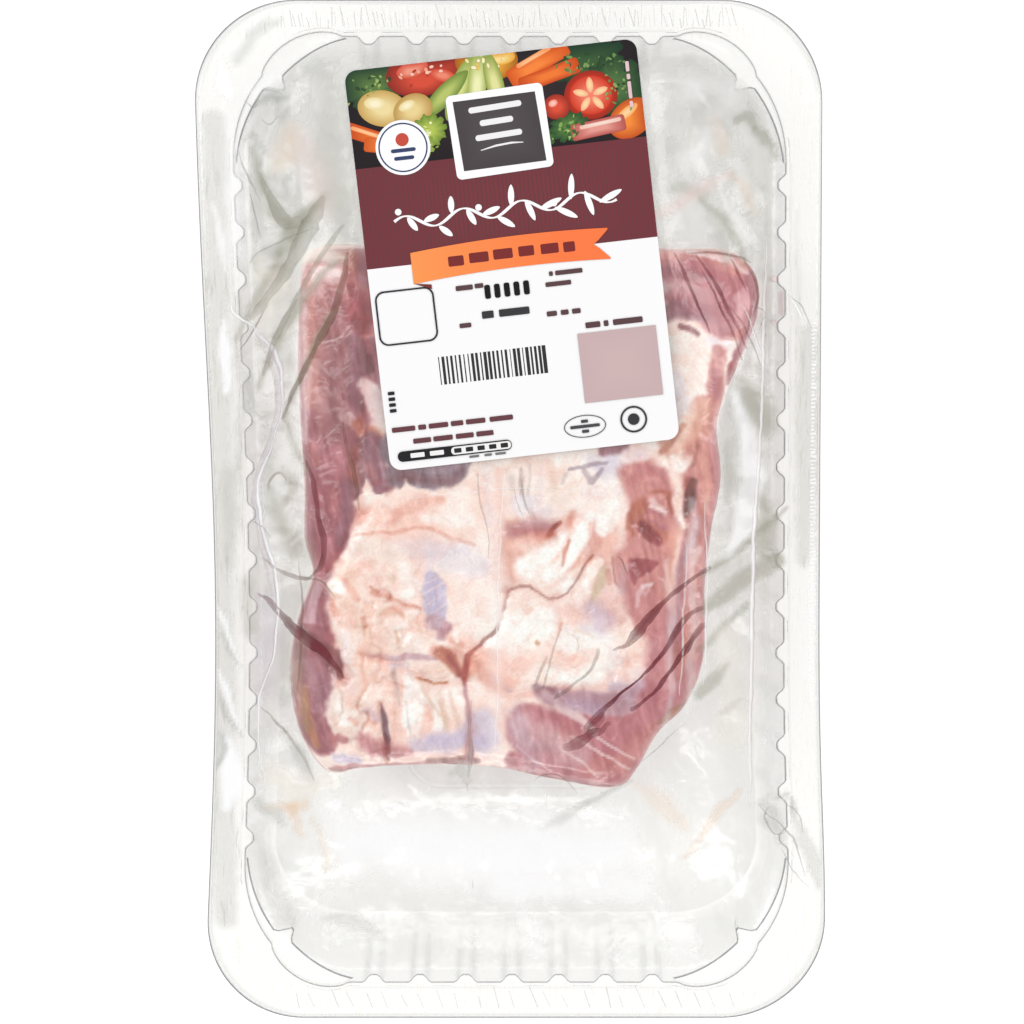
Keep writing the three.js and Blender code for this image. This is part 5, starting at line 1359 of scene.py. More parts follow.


# colour; opacity, and the fray where it isn't 0.3; pixels of the picture with the width in millimetres
# pale lines of the film's edge and seams, painted as highlights
FOLDS = read_strokes("""
# over the lean at the right
maroon; .8; 712 568 .8, 698 576 1.2, 682 588 1.3, 664 602 1.4, 652 616 2, 641 630 2.6, 628 645 1.6,
 612 650 .5
maroon; .85; 705 608 1.2, 690 617 1.7, 678 630 2, 667 648 1.7, 653 665 1, 640 680 .6, 624 692 .8,
 609 706 1.3, 596 720 2, 584 734 1.2
maroon; .8; 706 624 1.4, 694 640 1.9, 679 660 1.6, 666 679 1.2, 655 694 1, 640 707 .8, 630 713 1.2
maroon; .65 .6; 612 724 1, 593 736 2.4, 577 746 2.8, 562 752 1.4
maroon; .5 .5; 606 712 .8, 596 726 2.6, 590 740 1
bark; .5; 599 646 .8, 597 658 1.1, 590 672 .7, 574 685 .8, 558 697 1, 552 702 .5
bark; .4; 548 655 .5, 540 674 .9, 534 690 .5
bark; .4; 560 627 .6, 553 650 .5, 547 676 .7, 542 694 .4
bark; .55 .4; 628 576 .3, 622 560 .6, 616 556 .4
# across the upper right corner of the meat
maroon; .6; 672 250 .4, 681 268 .8, 691 292 .9, 703 316 .7, 711 334 .5
maroon; .55; 694 252 .4, 711 278 .9, 724 302 1, 735 324 .9, 747 350 .5
maroon; .5; 700 268 .3, 716 300 .6, 731 330, 742 362 .3
maroon; .5; 729 255 .3, 738 276 .9, 746 292 .5
maroon; .55; 741 256 .4, 751 272 .9, 757 296 .8, 750 318 .4
bark; .5; 684 252 .3, 712 252 .6, 738 256, 752 262 .3
bark; .4; 724 298 .3, 745 330 .6, 761 366 .3
white; .5; 740 300 .3, 752 330 .6, 766 372 .3
# down the left side
olive; .5; 323 194 .8, 317 208 3.2, 308 226 5, 297 250 3.4, 284 271 2.7, 271 290 2.4, 259 306 2.2,
 250 320 .6
olive; .4; 258 170 .5, 266 188 1.6, 275 208 2.6, 288 224 3.6, 304 218 2
olive; .5; 346 222 .5, 336 234 1.1, 322 254 1.3, 309 274, 294 298, 276 336 1.4, 262 376 .7
smoke; .6; 311 228 .3, 280 242 .5, 258 252, 250 262 .3
smoke; .5; 250 190 .3, 256 222 .5, 262 240 .3
bark; .6; 348 250 .6, 342 284 1.6, 331 316 1.9, 314 346 1.6, 303 370 1.5, 290 396 1, 281 420 .6
bark; .5; 342 420 .5, 347 452 1.1, 355 486 1.3, 358 512 .6
maroon; .7; 304 458 .5, 310 480 1.3, 315 512 1.4, 322 540 1.8, 319 566 1.2, 313 574 .5
bark; .55; 262 557 .4, 274 568 .9, 290 577 1, 306 579, 317 566 .7, 320 548 .4
bark; .4; 300 578 .4, 318 582 .6, 334 598 .4
maroon; .65 .5; 254 592 .6, 272 606 1.4, 288 626 2, 304 640 2.6, 320 652 2.4, 334 668 1.6, 342 682 .5
bark; .4; 259 705 .3, 274 724 .7, 288 742 .8, 303 764 .9, 311 786 .4
bark; .4; 296 560 .3, 300 600 .6, 298 650 .7, 294 700 .4
bark; .45 .4; 238 350 .3, 252 330 .5, 268 300 .4
bark; .35 .4; 288 482 .3, 280 472 .6, 270 480 .7, 268 492 .3
# over the fat in the middle
smoke; .5; 476 470 .3, 478 500 .5, 486 530 .4, 487 560 .3
smoke; .45; 520 476 .3, 522 498 .6, 530 516 .3
smoke; .4; 512 486 .3, 516 504 .4, 522 516 .2
smoke; .5; 470 700 .5, 469 730 .8, 469 760 1.2, 466 784 .5
white; .4; 503 470 .4, 499 520 .8, 497 600 .6, 496 700, 495 764 .3
white; .35; 395 500 .3, 500 488 .4, 600 492 .3
# pale lines of the film's edge and seams
lilac; .3 .2; 252 322 .6, 262 338 2, 275 362 3.2, 279 392 2.4, 275 424 2, 264 458 2.2, 256 492 2.6,
 260 531 2.4, 269 573 2, 274 606 1
white; .85; 252 320 .4, 256 330 .6, 276 354 1.3, 281 389 .6, 280 414 .5, 270 447, 259 475 .7, 257 492 1,
 262 531 1.2, 273 573 1.3, 277 606 .9, 272 649 .7, 265 677 .6, 257 708, 258 755 .5, 262 778 .4, 256 797 .3
white; .75 .2; 766 232 .3, 763 300 .7, 761 400 .9, 758 470, 753 540 1.2, 752 640, 751 760 1, 750 812 .4
white; .6; 705 500 .3, 707 560 .5, 706 640 .6, 704 690 .3
white; .5; 686 536 .3, 684 620 .7, 680 700 .3
bark; .3; 687 726 .2, 664 748 .4, 640 768 .2
# scratches and small folds in the wells and at the corners
smoke; .5 .5; 757 806 .2, 778 822 .4, 796 846 .5, 808 880 .3
smoke; .5 .5; 770 806 .3, 766 822 .5, 776 836 .4, 790 832 .2
smoke; .45 .5; 786 800 .2, 800 816 .4, 806 838 .2
smoke; .45 .5; 781 850 .2, 792 868 .4, 812 890 .2
smoke; .5 .5; 246 98 .2, 256 106 .6, 268 90 .5, 286 94 .2
smoke; .5 .5; 260 118 .2, 270 126 .5, 282 112 .2
smoke; .45 .4; 240 150 .2, 250 176 .5, 262 206 .2
smoke; .5 .4; 746 306 .2, 762 312 .3, 757 332 .2
white; .8; 786 290 .2, 796 306 .9, 806 326 .2
smoke; .5; 784 292 .2, 800 304 .4, 812 330 .2
white; .6; 232 300 .3, 236 312 1, 262 330 .4
smoke; .45; 248 516 .2, 262 526 .5, 270 540 .2
smoke; .5; 465 786 .2, 465 792 .3, 465 799 .2
smoke; .5; 470 890 .2, 470 896 .3, 471 902 .2
bark; .8 .1; 532 787 .1, 541 780 .16, 552 778, 564 783, 578 800 .1
""", 2, 0.3)

fold_points, fold_faces, fold_shades, fold_covers = [], [], [], []
for name, cover, fray, places in FOLDS:
    path = smooth_path(seen_at(places))
    frayed_x, frayed_y = ragged(path[:, 0], path[:, 1], fray)
    place = np.stack([frayed_x, frayed_y], 1)
    along = np.gradient(place, axis=0)
    normal = np.stack([-along[:, 1], along[:, 0]], 1) / np.linalg.norm(along, axis=1)[:, None]
    uneven = 1 + 0.25 * clouds(path[:, 0], path[:, 1], 3, 101, 2)
    half = np.maximum(path[:, 2] * uneven, 0.08)[1:-1, None] / 2
    start = sum(len(p) for p in fold_points)
    heart, side = place[1:-1], normal[1:-1] * half
    rings = np.stack([heart - side, heart, heart + side, heart], 1).reshape(-1, 2)
    rings = np.concatenate([place[:1], rings, place[-1:]])
    lift = film_height(rings[:, 0], rings[:, 1]) + 0.04
    profile = np.tile((0.5, 1, 0.5, 0), len(place) - 2) * FOLD_THICKNESS
    lift += np.concatenate([[0.5 * FOLD_THICKNESS], profile, [0.5 * FOLD_THICKNESS]])
    fold_points.append(np.column_stack([rings, lift]))
    n = len(place) - 2
    for i in range(n - 1):
        for k in range(4):
            a = start + 1 + 4 * i
            fold_faces.append((a + k, a + (k + 1) % 4, a + 4 + (k + 1) % 4, a + 4 + k))
    for k in range(4):
        fold_faces.append((start, start + 1 + (k + 1) % 4, start + 1 + k))
        end = start + 1 + 4 * (n - 1)
        fold_faces.append((start + 1 + 4 * n, end + k, end + (k + 1) % 4))
    fold_shades.append(np.tile(FILM_COLOURS[name], (len(rings), 1)))
    fade = np.sin(math.pi * np.linspace(0.04, 0.96, n)) ** 0.3
    fade = cover * fade * (1 - 0.2 * clouds(path[1:-1, 0], path[1:-1, 1], 6, 102, 2))
    fold_covers.append(np.concatenate([[0], np.repeat(fade, 4) * np.tile((0.7, 1, 0.7, 1), n), [0]]))

crease, tree = new_material("barrier film, doubled in a fold")
shade = add_node(tree, "ShaderNodeAttribute", {"attribute_name": "shade"})
cover = add_node(tree, "ShaderNodeAttribute", {"attribute_name": "cover"})
clear = add_node(tree, "ShaderNodeBsdfTransparent", {"Color": colour("#ffffff")})
painted_tint_and_light = add_node(tree, "ShaderNodeBsdfDiffuse", links={"Color": shade.outputs["Color"]})
front = add_node(tree, "ShaderNodeNewGeometry")
facing = add_node(
    tree, "ShaderNodeMath", {"operation": "MULTIPLY_ADD", 1: -1, 2: 1}, {0: front.outputs["Backfacing"]}
)
once = add_node(tree, "ShaderNodeMath", {"operation": "MULTIPLY"}, {0: facing, 1: cover.outputs["Fac"]})
doubled = add_node(tree, "ShaderNodeMixShader", links={0: once, 1: clear, 2: painted_tint_and_light})
set_surface(tree, doubled)
folds = new_object("film_folds", np.concatenate(fold_points) + SHIFT, fold_faces, crease)
set_values(folds, "shade", to_linear(np.concatenate(fold_shades)))
set_values(folds, "cover", np.concatenate(fold_covers))
let_light_in(folds)
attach(folds, "root")
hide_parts("lid_film")


# ---- Seal marks ----
# Where the film was pressed hot on the flange it is puckered: short fine ridges across the far
# and near ends, and a dotted line down the right side. A seeded node tree repeats each kind.
bars_tree = bpy.data.node_groups.new("row of bars", "GeometryNodeTree")
for socket, kind in (
    ("Start", "Vector"), ("Pitch", "Vector"), ("Amount", "Int"), ("Least size", "Vector"),
    ("Most size", "Vector"), ("Jitter", "Vector"), ("Least lean", "Vector"), ("Most lean", "Vector"),
    ("Seed", "Int"), ("Material", "Material"),
):
    bars_tree.interface.new_socket(name=socket, in_out="INPUT", socket_type="NodeSocket" + kind)
bars_tree.interface.new_socket(name="Bars", in_out="OUTPUT", socket_type="NodeSocketGeometry")
given = add_node(bars_tree, "NodeGroupInput").outputs
row = add_node(
    bars_tree, "GeometryNodeMeshLine", {"mode": "OFFSET"},
    {"Count": given["Amount"], "Start Location": given["Start"], "Offset": given["Pitch"]},
)
back = add_node(bars_tree, "ShaderNodeVectorMath", {"operation": "SCALE", "Scale": -1}, {0: given["Jitter"]})
nudge, size, lean = (
    add_node(
        bars_tree, "FunctionNodeRandomValue", {"data_type": "FLOAT_VECTOR"},
        {0: low, 1: high, "Seed": given["Seed"]},
    )
    for low, high in (
        (back, given["Jitter"]),
        (given["Least size"], given["Most size"]),
        (given["Least lean"], given["Most lean"]),
    )
)
nudged = add_node(bars_tree, "GeometryNodeSetPosition", links={"Geometry": row, "Offset": nudge})
bars = add_node(
    bars_tree, "GeometryNodeInstanceOnPoints",
    links={
        "Points": nudged,
        "Instance": add_node(bars_tree, "GeometryNodeMeshCube"),
        "Rotation": lean,
        "Scale": size,
    },
)
whole = add_node(bars_tree, "GeometryNodeRealizeInstances", links={0: bars})
coated = add_node(
    bars_tree, "GeometryNodeSetMaterial", links={"Geometry": whole, "Material": given["Material"]}
)
add_node(bars_tree, "NodeGroupOutput", links={0: coated})


def row_of_bars(name, values, placed):
    """A plain mesh of bars in a row; placed turns their points in millimetres to the pack's."""
    piece = bpy.data.objects.new(name, bpy.data.meshes.new(name))
    scene.collection.objects.link(piece)
    modifier = piece.modifiers.new("row of bars", "NODES")
    modifier.node_group = bars_tree
    for socket in bars_tree.interface.items_tree:
        if socket.name in values:
            modifier[socket.identifier] = values[socket.name]
    evaluated = piece.evaluated_get(bpy.context.evaluated_depsgraph_get())
    plain = bpy.data.meshes.new_from_object(evaluated)
    piece.modifiers.clear()
    piece.data = plain
    points = np.empty(3 * len(plain.vertices))
    plain.vertices.foreach_get("co", points)
    plain.vertices.foreach_set("co", ((placed(points.reshape(-1, 3)) + SHIFT) * MM).ravel())
    plain.update()
    return piece


# Film puckered in the seal: too fine to show a slope, so each ridge is a faint painted bar, grey for painted
# shade and white for a painted glint
ridge_films = []
for name, shade, opacity in (("grey", "#a3a39b", 0.2), ("white", "#ffffff", 0.45)):
    ridge_film, tree = new_material(f"barrier film, puckered, {name}")
    clear = add_node(tree, "ShaderNodeBsdfTransparent", {"Color": colour("#ffffff")})
    painted_tint_and_light = add_node(tree, "ShaderNodeBsdfDiffuse", {"Color": colour(shade)})
    painted_ridge_light = add_node(tree, "ShaderNodeMixShader", {0: opacity}, {1: clear, 2: painted_tint_and_light})
    set_surface(tree, painted_ridge_light)
    ridge_films.append(ridge_film)
grey_film, white_film = ridge_films
SEAL_TOP = FILM_SEAL + 0.34
# name, film, start, pitch, amount, least and most size, jitter, least and most lean
for name, ridge_film, start, pitch, amount, least, most, jitter, lean in (
    (
        "far_seal_ridges", grey_film, (-58, 126), (1.16, 0), 100,
        (0.1, 2), (0.34, 5.6), (0.6, 1.2), (-0.12, 0.3),
    ),
    ("far_seal_glints", white_film, (-57, 126), (2.3, 0), 50, (0.2, 2), (0.5, 5.2), (1.2, 1.2), (-0.1, 0.3)),
    (
        "near_seal_ridges", grey_film, (-56, -126), (4.7, 0), 25,
        (0.12, 3), (0.3, 6.4), (1.2, 0.8), (0.15, 0.5),
    ),
    (
        "right_seal_dots", white_film, (78.1, 49), (-0.0035, -0.98), 100,
        (0.5, 0.35), (1.6, 0.7), (0.15, 0.1), (-0.3, 0.3),
    ),
):
    ridges = row_of_bars(
        name,
        {"Start": (*start, SEAL_TOP), "Pitch": (*pitch, 0.0), "Amount": amount, "Least size": (*least, 0.04),
         "Most size": (*most, 0.04), "Jitter": (*jitter, 0.0), "Least lean": (0.0, 0.0, lean[0]),
         "Most lean": (0.0, 0.0, lean[1]), "Seed": 3, "Material": ridge_film},
        lambda points: np.column_stack([*pulled(points[:, 0], points[:, 1]), points[:, 2]]),
    )
    let_light_in(ridges)
    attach(ridges, "root")
    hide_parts("lid_film")


# ---- Label print ----
# Offset ink on the paper: a dark band with vegetables, a maroon band, a ribbon and the small
# print. Lines of print are plain bars. Each field of colour is a closed plate a few
# hundredths of a millimetre thick, and a later one lies a little higher than those before it.
INK_SHEET = 0.02
INK_TOP = LABEL_SHEET - 0.06
INK_LIFT = 0.0004
STRIPE_LIFTS = 10  # room for the pin stripes between the two bands and all that lies on them
BAND_MIDDLE, BAND_LOW = 26.4, 0.7

paper_outline = rounded_box((0, 0), LABEL_SIZE, LABEL_RADIUS)
ink_points, ink_faces, ink_shades = [], [], []


def clipped(shape, fence):
    """The part of a shape inside a convex anticlockwise fence."""
    for a, b in zip(fence, np.roll(fence, -1, 0)):
        if len(shape) < 3:
            return shape
        side = (b[0] - a[0]) * (shape[:, 1] - a[1]) - (b[1] - a[1]) * (shape[:, 0] - a[0])
        kept = []
        for i, here in enumerate(shape):
            j = (i + 1) % len(shape)
            if side[i] >= 0:
                kept.append(here)
            if (side[i] >= 0) != (side[j] >= 0):
                kept.append(here + (shape[j] - here) * side[i] / (side[i] - side[j]))
        shape = np.array(kept).reshape(-1, 2)
    return shape


def lay_ink(shape, edge, middle=None, fence=None, centre=None):
    """A closed plate of ink whose colour runs from its edge to its middle."""
    shape = np.asarray(shape, float)
    if fence is not None:
        shape = clipped(shape, fence)
    if len(shape) < 3:
        return
    lifts = len(ink_points) + (STRIPE_LIFTS if len(ink_points) > 1 else 0)
    level = INK_TOP + INK_LIFT * lifts
    start = sum(len(points) for points in ink_points)
    heart = shape.mean(0) if centre is None else np.asarray(centre, float)
    edge, middle = srgb(edge), srgb(middle or edge)
    scales = (1, 0.62, 0.28)
    rings = [heart + (shape - heart) * scale for scale in scales]
    n = len(shape)
    points = [np.column_stack([ring, np.full(n, level)]) for ring in rings]
    points += [[[*heart, level]], np.column_stack([shape, np.full(n, level - INK_SHEET)])]
    points += [[[*heart, level - INK_SHEET]]]
    shades = [np.tile(edge + (middle - edge) * k, (n, 1)) for k in (0, 0.55, 1)]
    shades += [[middle], np.tile(edge, (n, 1)), [edge]]
    quads = [band(start + k * n, start + (k + 1) * n, n) for k in (0, 1)]
    ink_faces.extend(np.concatenate(quads).tolist())
    ink_faces.extend(band(start + 3 * n + 1, start, n).tolist())
    for i in range(n):
        j = (i + 1) % n
        ink_faces.append((start + 2 * n + i, start + 2 * n + j, start + 3 * n))
        ink_faces.append((start + 3 * n + 1 + j, start + 3 * n + 1 + i, start + 4 * n + 1))
    ink_points.append(np.concatenate(points))
    ink_shades.append(np.concatenate(shades))


def turned(shape, centre, degrees):
    c, s = math.cos(math.radians(degrees)), math.sin(math.radians(degrees))
    return np.asarray(centre) + np.asarray(shape, float) @ np.array([[c, s], [-s, c]])


def oval(centre, size, degrees=0, steps=36):
    angle = np.linspace(0, 2 * math.pi, steps, endpoint=False)
    return turned(np.stack([size[0] * np.cos(angle), size[1] * np.sin(angle)], 1), centre, degrees)


def leaf(centre, size, degrees=0):
    t = np.linspace(0, math.pi, 16)
    upper = np.stack([-size[0] * np.cos(t), size[1] * np.sin(t) ** 1.3], 1)
    return turned(np.concatenate([upper[:0:-1], upper[:-1] * (1, -1)]), centre, degrees)


def stick(centre, size, degrees=0, radius=0.8):
    return turned(rounded_box((0, 0), (2 * size[0], 2 * size[1]), min(radius, size[1])), centre, degrees)


def frill(centre, size, degrees=0, lobes=11):
    angle = np.linspace(0, 2 * math.pi, 66, endpoint=False)
    reach = 1 + 0.1 * np.sin(lobes * angle) + 0.06 * np.sin(2.3 * lobes * angle + 1)
    edge = np.stack([size[0] * reach * np.cos(angle), size[1] * reach * np.sin(angle)], 1)
    return turned(edge, centre, degrees)


def strip_of(path, widths):
    """A closed outline round a path of changing width."""
    path, widths = np.asarray(path, float), np.asarray(widths, float)[:, None]
    along = np.gradient(path, axis=0)
    normal = np.stack([-along[:, 1], along[:, 0]], 1) / np.linalg.norm(along, axis=1)[:, None]
    return np.concatenate([path - normal * widths / 2, (path + normal * widths / 2)[::-1]])


def lay_line(path, widths, shade):
    """A line of ink as a chain of plates, so that it may bend freely."""
    path = np.asarray(path, float)
    widths = np.broadcast_to(np.asarray(widths, float), (len(path),))
    for i in range(len(path) - 1):
        lay_ink(strip_of(path[i : i + 2], widths[i : i + 2]), shade)


inside = clipped(paper_outline, np.array([(-40, BAND_MIDDLE), (40, BAND_MIDDLE), (40, 60), (-40, 60)]))
maroon_band = [(-37.3, BAND_LOW), (37.3, BAND_LOW), (37.3, BAND_MIDDLE), (-37.3, BAND_MIDDLE)]
lay_ink(maroon_band, "#75363d", "#7a3a40")
lay_ink(inside, "#231e21", "#33292b")

# Vegetables on the dark band, from the back to the front: kind, centre, half sizes, turn, colours
FOOD = [
    (frill, (24, 47.5), (9.5, 6.5), 10, "#1f3a2a", "#3c5c36"),
    (frill, (31.5, 40), (7, 8), 40, "#27432c", "#4f7040"),
    (frill, (-31, 47), (7.5, 6), 0, "#28422f", "#5d7a42"),
    (oval, (-17, 49), (10, 6), 8, "#8d2b22", "#d8503a"),
    (oval, (-20, 50), (4.2, 2), 12, "#d4513c", "#f19a82"),
    (oval, (-12.5, 47.6), (3.4, 1.6), -18, "#cf4632", "#ef8a70"),
    (oval, (-1, 50), (8, 5.4), -4, "#a8641c", "#eda93c"),
    (oval, (2, 50.8), (4.4, 2.2), -6, "#e8a63c", "#f9dd92"),
    (stick, (12, 48), (8.5, 2.3), 24, "#d4551f", "#f8863c"),
    (stick, (14.5, 44.6), (8, 2), 14, "#c8481c", "#f27a34"),
    (stick, (11, 49.6), (5, 0.6), 24, "#f8965a", "#fcc08c"),
    (leaf, (-8.4, 44), (9, 2.6), 62, "#8da24a", "#d8dc8c"),
    (leaf, (-4, 44.6), (8.6, 2.4), 80, "#a3b058", "#eef0b4"),
    (leaf, (0.4, 44.4), (8.4, 2.3), 98, "#8b9c45", "#e4e39a"),
    (leaf, (-12.6, 42.6), (8.6, 2.4), 40, "#6f8a3c", "#b9c66c"),
    (oval, (-28.6, 41), (6.4, 4.6), -14, "#c9a25a", "#f0dca0"),
    (oval, (-30.4, 42.4), (2.8, 1.6), -10, "#ecd79c", "#fbf2cc"),
    (oval, (-21, 39.6), (5.2, 4.2), 20, "#bd9550", "#ecd494"),
    (oval, (-22.4, 41), (2.2, 1.2), 20, "#ecd79c", "#faf0c8"),
    (oval, (24.4, 38.4), (6.8, 6.2), 0, "#a02a1c", "#e8472a"),
    (oval, (24.4, 38.4), (5.4, 4.9), 0, "#d23c26", "#f4836a"),
    *((leaf, centre, (2, 0.9), degrees, "#f7b08a", "#fbd9a0") for centre, degrees in (
        ((24.4, 41), 90), ((26.9, 39.2), 18), ((26, 36.3), -54), ((22.8, 36.3), 234), ((21.9, 39.2), 162))),
    (oval, (34, 31.4), (6.4, 4.6), 30, "#c7531e", "#f58f3a"),
    (oval, (33, 33), (3.4, 1.2), 34, "#f8a85e", "#fdd29c"),
    (stick, (-32, 34), (7, 1.9), -24, "#c94e1e", "#f5803a"),
    (stick, (-27, 31), (7.5, 1.9), -12, "#d25a22", "#f88c42"),
    (stick, (-33, 35.2), (4.6, 0.5), -24, "#f9a268", "#fdc894"),
    (frill, (-17.6, 34), (4.6, 4), 30, "#6c8a34", "#b5c65a"),
    (frill, (-20.4, 30.4), (3.8, 3.2), 0, "#7f9a3e", "#cfd876"),
    (frill, (18, 31), (5, 3.6), 12, "#2a4c2c", "#5b8240"),
    (stick, (25.4, 30), (7, 2.1), 6, "#b5544e", "#e79c90"),
    (stick, (26, 31), (5.4, 0.5), 6, "#eec0b0", "#f8ddd0"),
    (oval, (15.4, 36.4), (3.4, 3.2), 0, "#9c2f22", "#e0523a"),
    (oval, (14.6, 37.4), (1.2, 0.9), 20, "#f08c78", "#fbc9ba"),
    (frill, (9.4, 28.8), (4.6, 3), 0, "#355a30", "#6d9448"),
]
for kind, centre, size, degrees, edge, middle in FOOD:
    lay_ink(kind(centre, size, degrees), edge, middle, inside)
# small dabs of leaf, seed and light over them
draw = np.random.default_rng(5)
for centre, spread, amount, shades in (
    ((24, 47), (8, 3.4), 34, ("#5f8048", "#7d9a58", "#2b4a2c")),
    ((31.5, 40), (4.6, 5.6), 26, ("#6a8c4c", "#86a45e", "#24402a")),
    ((-31, 47), (5, 3), 24, ("#7d9a4e", "#9db566", "#2f4a30")),
    ((-18.6, 32.4), (3.6, 3.6), 30, ("#dde68c", "#8aa43e", "#eef0b0")),
    ((17.6, 31), (3.8, 2.6), 26, ("#86ab5a", "#3c6234", "#a4c274")),
    ((9.4, 28.6), (3.4, 1.6), 18, ("#86ab5a", "#3c6234", "#a4c274")),
    ((-1, 49.6), (5, 1.6), 12, ("#fbe6a4", "#f3c35e", "#fdf0c4")),
    ((-17, 48.6), (7, 2), 14, ("#f4a48c", "#b5382a", "#f9c8b4")),
):
    for _ in range(amount):
        place = np.array(centre) + draw.normal(0, 0.5, 2) * spread
        size = draw.uniform(0.25, 0.75, 2) * (1, 0.6)
        lay_ink(oval(place, size, draw.uniform(0, 180), 10), str(draw.choice(shades)), None, inside)

# Badge: white frame round a dark plate with bars, and a plain round seal to its left
lay_ink(turned(rounded_box((0, 0), (24.9, 21.5), 1.4), (0.3, 31.9), 2), "#ffffff")
slate = [(-10.3, -8.9), (10.9, -8.9), (10.2, 8.9), (-10.9, 8.9)]
lay_ink(turned(slate, (0.3, 31.9), 1), "#4a4446", "#544e50")
for u, v, length in ((-0.2, 38.2, 13.6), (-0.2, 34.6, 8.6), (0, 31, 12)):
    lay_ink(turned(rounded_box((0, 0), (length, 1.5), 0.7), (u, v), 2.5), "#f4f2f2")
lay_line([(-5, 27.6), (-1, 28.4), (3, 28.7), (6, 28.5)], (0.2, 0.5, 0.5, 0.2), "#f4f2f2")
for radius, shade in ((7, "#ffffff"), (6.3, "#39476b"), (5.9, "#ffffff")):
    lay_ink(oval((-24.6, 30.6), (radius, radius), 0, 48), shade)
lay_ink(oval((-24.6, 32.6), (1.7, 1.7)), "#c9503f")
for v, length in ((29.9, 6.4), (27.9, 5.2)):
    lay_ink(rounded_box((-24.6, v), (length, 1), 0.5), "#39476b")

# Flourish along the maroon band: a white stem that rises and falls, with leaves
STEM_RISE = 1.7
STEM_TURNS = 0.42
stem_u = np.linspace(-29, 28, 90)
stem_v = 12 + STEM_RISE * np.sin(stem_u * STEM_TURNS) + 0.02 * stem_u
stem_width = 0.35 + 0.45 * np.abs(np.cos(stem_u * STEM_TURNS))
lay_line(np.stack([stem_u, stem_v], 1), stem_width, "#ffffff")
for i in range(5, 88, 6):
    up = 1 if (i // 6) % 2 else -1
    slope = math.degrees(math.atan(STEM_RISE * STEM_TURNS * math.cos(stem_u[i] * STEM_TURNS)))
    size = (2.7 + 0.6 * math.sin(i), 0.8)
    turn = slope + up * 52
    heart = turned([(2.6, 0)], (stem_u[i], stem_v[i]), turn)[0]
    lay_ink(leaf(heart, size, turn), "#ffffff")
for i in (2, 34, 64, 87):
    lay_ink(oval((stem_u[i], stem_v[i] + 1.6), (0.85, 0.85), 0, 20), "#ffffff")

# Ribbon with a notched end and a folded one, and bars on it
RIBBON_ENDS = (-25.9, 24.8)
RIBBON_HALF = 4
RIBBON_BOW = 0.0016
NOTCH_DEPTH = 3.6
along_u = np.linspace(*RIBBON_ENDS, 40)
middle_v = 0.6 - RIBBON_BOW * (along_u - 4) ** 2 + 0.5
for i, (u0, u1, v0, v1) in enumerate(zip(along_u[:-1], along_u[1:], middle_v[:-1], middle_v[1:])):
    low0, low1, high0, high1 = v0 - RIBBON_HALF, v1 - RIBBON_HALF, v0 + RIBBON_HALF, v1 + RIBBON_HALF
    notch = [max(0, NOTCH_DEPTH - (RIBBON_ENDS[1] - u)) for u in (u0, u1)]
    glow = min(1, i / 30)
    shade = f"#ff{round(154 - 29 * glow):02x}{round(85 - 15 * glow):02x}"
    if notch[1]:
        lay_ink([(u0, low0), (u1, low1), (u1, v1 - notch[1]), (u0, v0 - notch[0])], shade)
        lay_ink([(u0, v0 + notch[0]), (u1, v1 + notch[1]), (u1, high1), (u0, high0)], shade)
    else:
        lay_ink([(u0, low0), (u1 + 0.02, low1), (u1 + 0.02, high1), (u0, high0)], shade)
lay_ink([(-25.9, -4.2), (-21.4, -4.9), (-21.4, -6.1)], "#7a3430")
for u, length in ((-14.5, 4), (-8.6, 5), (-2.4, 5), (3.6, 4), (9.6, 4.6), (14.6, 3)):
    v = 0.9 - RIBBON_BOW * (u - 4) ** 2
    lay_ink(rounded_box((u, v), (length, 2.6), 0.4), "#7e2f2e")

BROWN, DARK, WINE, GREY = "#5d4346", "#3a3a3c", "#6a4146", "#777777"
# Small print: every word is a bar. Level, height and ink of a line, then middle and length of its bars
for v, height, shade, words in (
    (-6.7, 1.3, BROWN, ((-13.2, 4.4),)), (-6.6, 1.2, BROWN, ((-9.4, 2.2),)),
    (-5.6, 1.2, BROWN, ((9.2, 1), (13.8, 7))), (-8.3, 1.2, BROWN, ((10.8, 6.6),)),
    (-16.3, 1.2, BROWN, ((-14, 3),)), (-15.8, 1.3, BROWN, ((8.3, 2.6), (11.6, 2), (14.6, 2.2))),
    (-19.8, 1.5, BROWN, ((18.4, 3.8), (21.8, 1.2), (27.4, 7.6))),
    (-14.2, 1.9, DARK, ((-8, 3), (-1.2, 7.8))),
    (-41, 1.3, WINE, ((-32.8, 6), (-28, 2), (-23.8, 5), (-19, 3.2), (-14.2, 5), (-7.6, 6))),
    (-44.4, 1.3, WINE, ((-28.4, 4.6), (-23, 5), (-17.4, 4.6), (-12.2, 4.4))),
    (-50, 0.6, GREY, ((-15.6, 2.6), (-12, 2), (-8.8, 2.8))),
):
    for u, length in words:
        lay_ink(rounded_box((u, v), (length, height), 0.3, 3), shade)
for k in range(5):
    lay_ink(rounded_box((-7.4 + 2.5 * k, -8.4), (1.5, 3.6), 0.5, 3), "#171718")
for k in range(4):
    lay_ink(rounded_box((-34.9, -36 + 1.5 * k), (1.7, 0.9), 0.2, 3), "#2b2b2d")
for v, length in ((44.6, 2.6), (42, 1.4), (38.6, 4.4), (35, 1.6)):
    lay_ink(rounded_box((34.4, v), (0.9, length), 0.3, 3), "#e9c4cc")


def lay_ring(shape, width, shade):
    """A thin closed line along a shape's edge."""
    shape = np.asarray(shape)
    closed = np.concatenate([shape, shape[:1]])
    for a, b in zip(closed[:-1], closed[1:]):
        if np.linalg.norm(b - a) > 1e-6:
            lay_ink(strip_of([a, b + (b - a) * 0.05], (width, width)), shade)


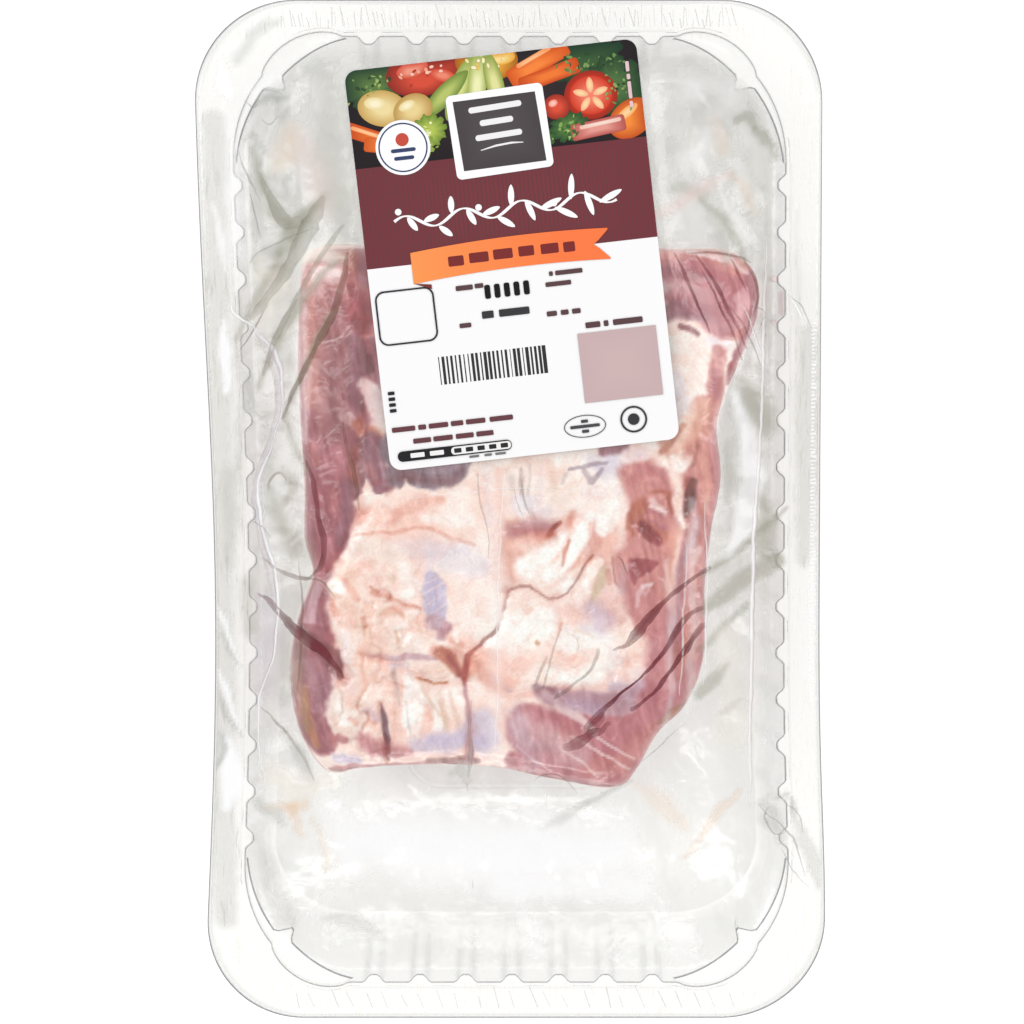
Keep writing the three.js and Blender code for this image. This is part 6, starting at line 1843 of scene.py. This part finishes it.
lay_ring(rounded_box((-28.7, -12.3), (14.7, 13.6), 2.2), 0.45, "#2f3133")
lay_ink([(14.2, -39.6), (34.3, -39.6), (34.3, -21.7), (14.2, -21.7)], "#cbb0b0", "#cfb4b3")
lay_ring(oval((13.5, -45.5), (5.3, 2.8), 0, 40), 0.22, "#4a4a4c")
for v, length in ((-44.2, 1.8), (-45.5, 7.6), (-46.8, 1.8)):
    lay_ink(rounded_box((13.5, v), (length, 0.8), 0.2, 3), "#4a4a4c")
lay_ring(oval((26.1, -45.1), (3.2, 3.2), 0, 32), 0.5, "#3a3a3c")
lay_ink(oval((26.1, -45.1), (1.5, 1.5), 0, 24), "#3a3a3c")
lay_ink(rounded_box((-20.4, -48), (29.4, 2.7), 1.3), "#232224")
lay_ink(rounded_box((-13.6, -48), (15.4, 2), 0.9), "#f4f3f1")
for k in range(5):
    lay_ink(rounded_box((-19.6 + 3 * k, -48), (1.9, 1.2), 0.2, 3), "#2b2b2d")
for k in range(2):
    lay_ink(rounded_box((-30 + 5 * k, -48), (3.6, 1.2), 0.2, 3), "#f4f3f1")

ink, tree = new_material("offset printing ink, satin")
printed = add_node(tree, "ShaderNodeAttribute", {"attribute_name": "printed"})
satin = add_node(
    tree, "ShaderNodeBsdfPrincipled", {"Roughness": 0.5, "IOR": 1.45, "Specular IOR Level": 0.2},
    {"Base Color": printed.outputs["Color"]},
)
set_surface(tree, satin)
printed_points = on_label(np.concatenate(ink_points)) + SHIFT
field = new_object("label_print", printed_points, ink_faces, ink, smooth=False)
set_values(field, "printed", to_linear(np.concatenate(ink_shades)))
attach(field, "root")
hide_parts("label")

# Pin stripes on the maroon band and a bar code of no meaning
STRIPE_LEVEL = INK_LIFT * STRIPE_LIFTS / 2
for name, shade, start, pitch, amount, least, most, level in (
    ("label_pinstripes", "#66292f", (-36.8, 13.55), 1.1, 67, (0.36, 25.6), (0.42, 25.6), STRIPE_LEVEL),
    ("label_bar_code", "#1c1c1e", (-21.8, -27.2), 1.08, 26, (0.2, 7.2), (1.0, 7.2), 0.01),
):
    stripe_ink, tree = new_material(name.replace("label_", "offset printing ink, ").replace("_", " "))
    dark = add_node(tree, "ShaderNodeBsdfPrincipled", {"Base Color": colour(shade), "Roughness": 0.5})
    set_surface(tree, dark)
    stripes = row_of_bars(
        name,
        {"Start": (*start, PAPER_TOP + level), "Pitch": (pitch, 0.0, 0.0), "Amount": amount,
         "Least size": (*least, 0.02), "Most size": (*most, 0.02), "Seed": 8, "Material": stripe_ink},
        on_label,
    )
    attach(stripes, "root")
    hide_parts("label")
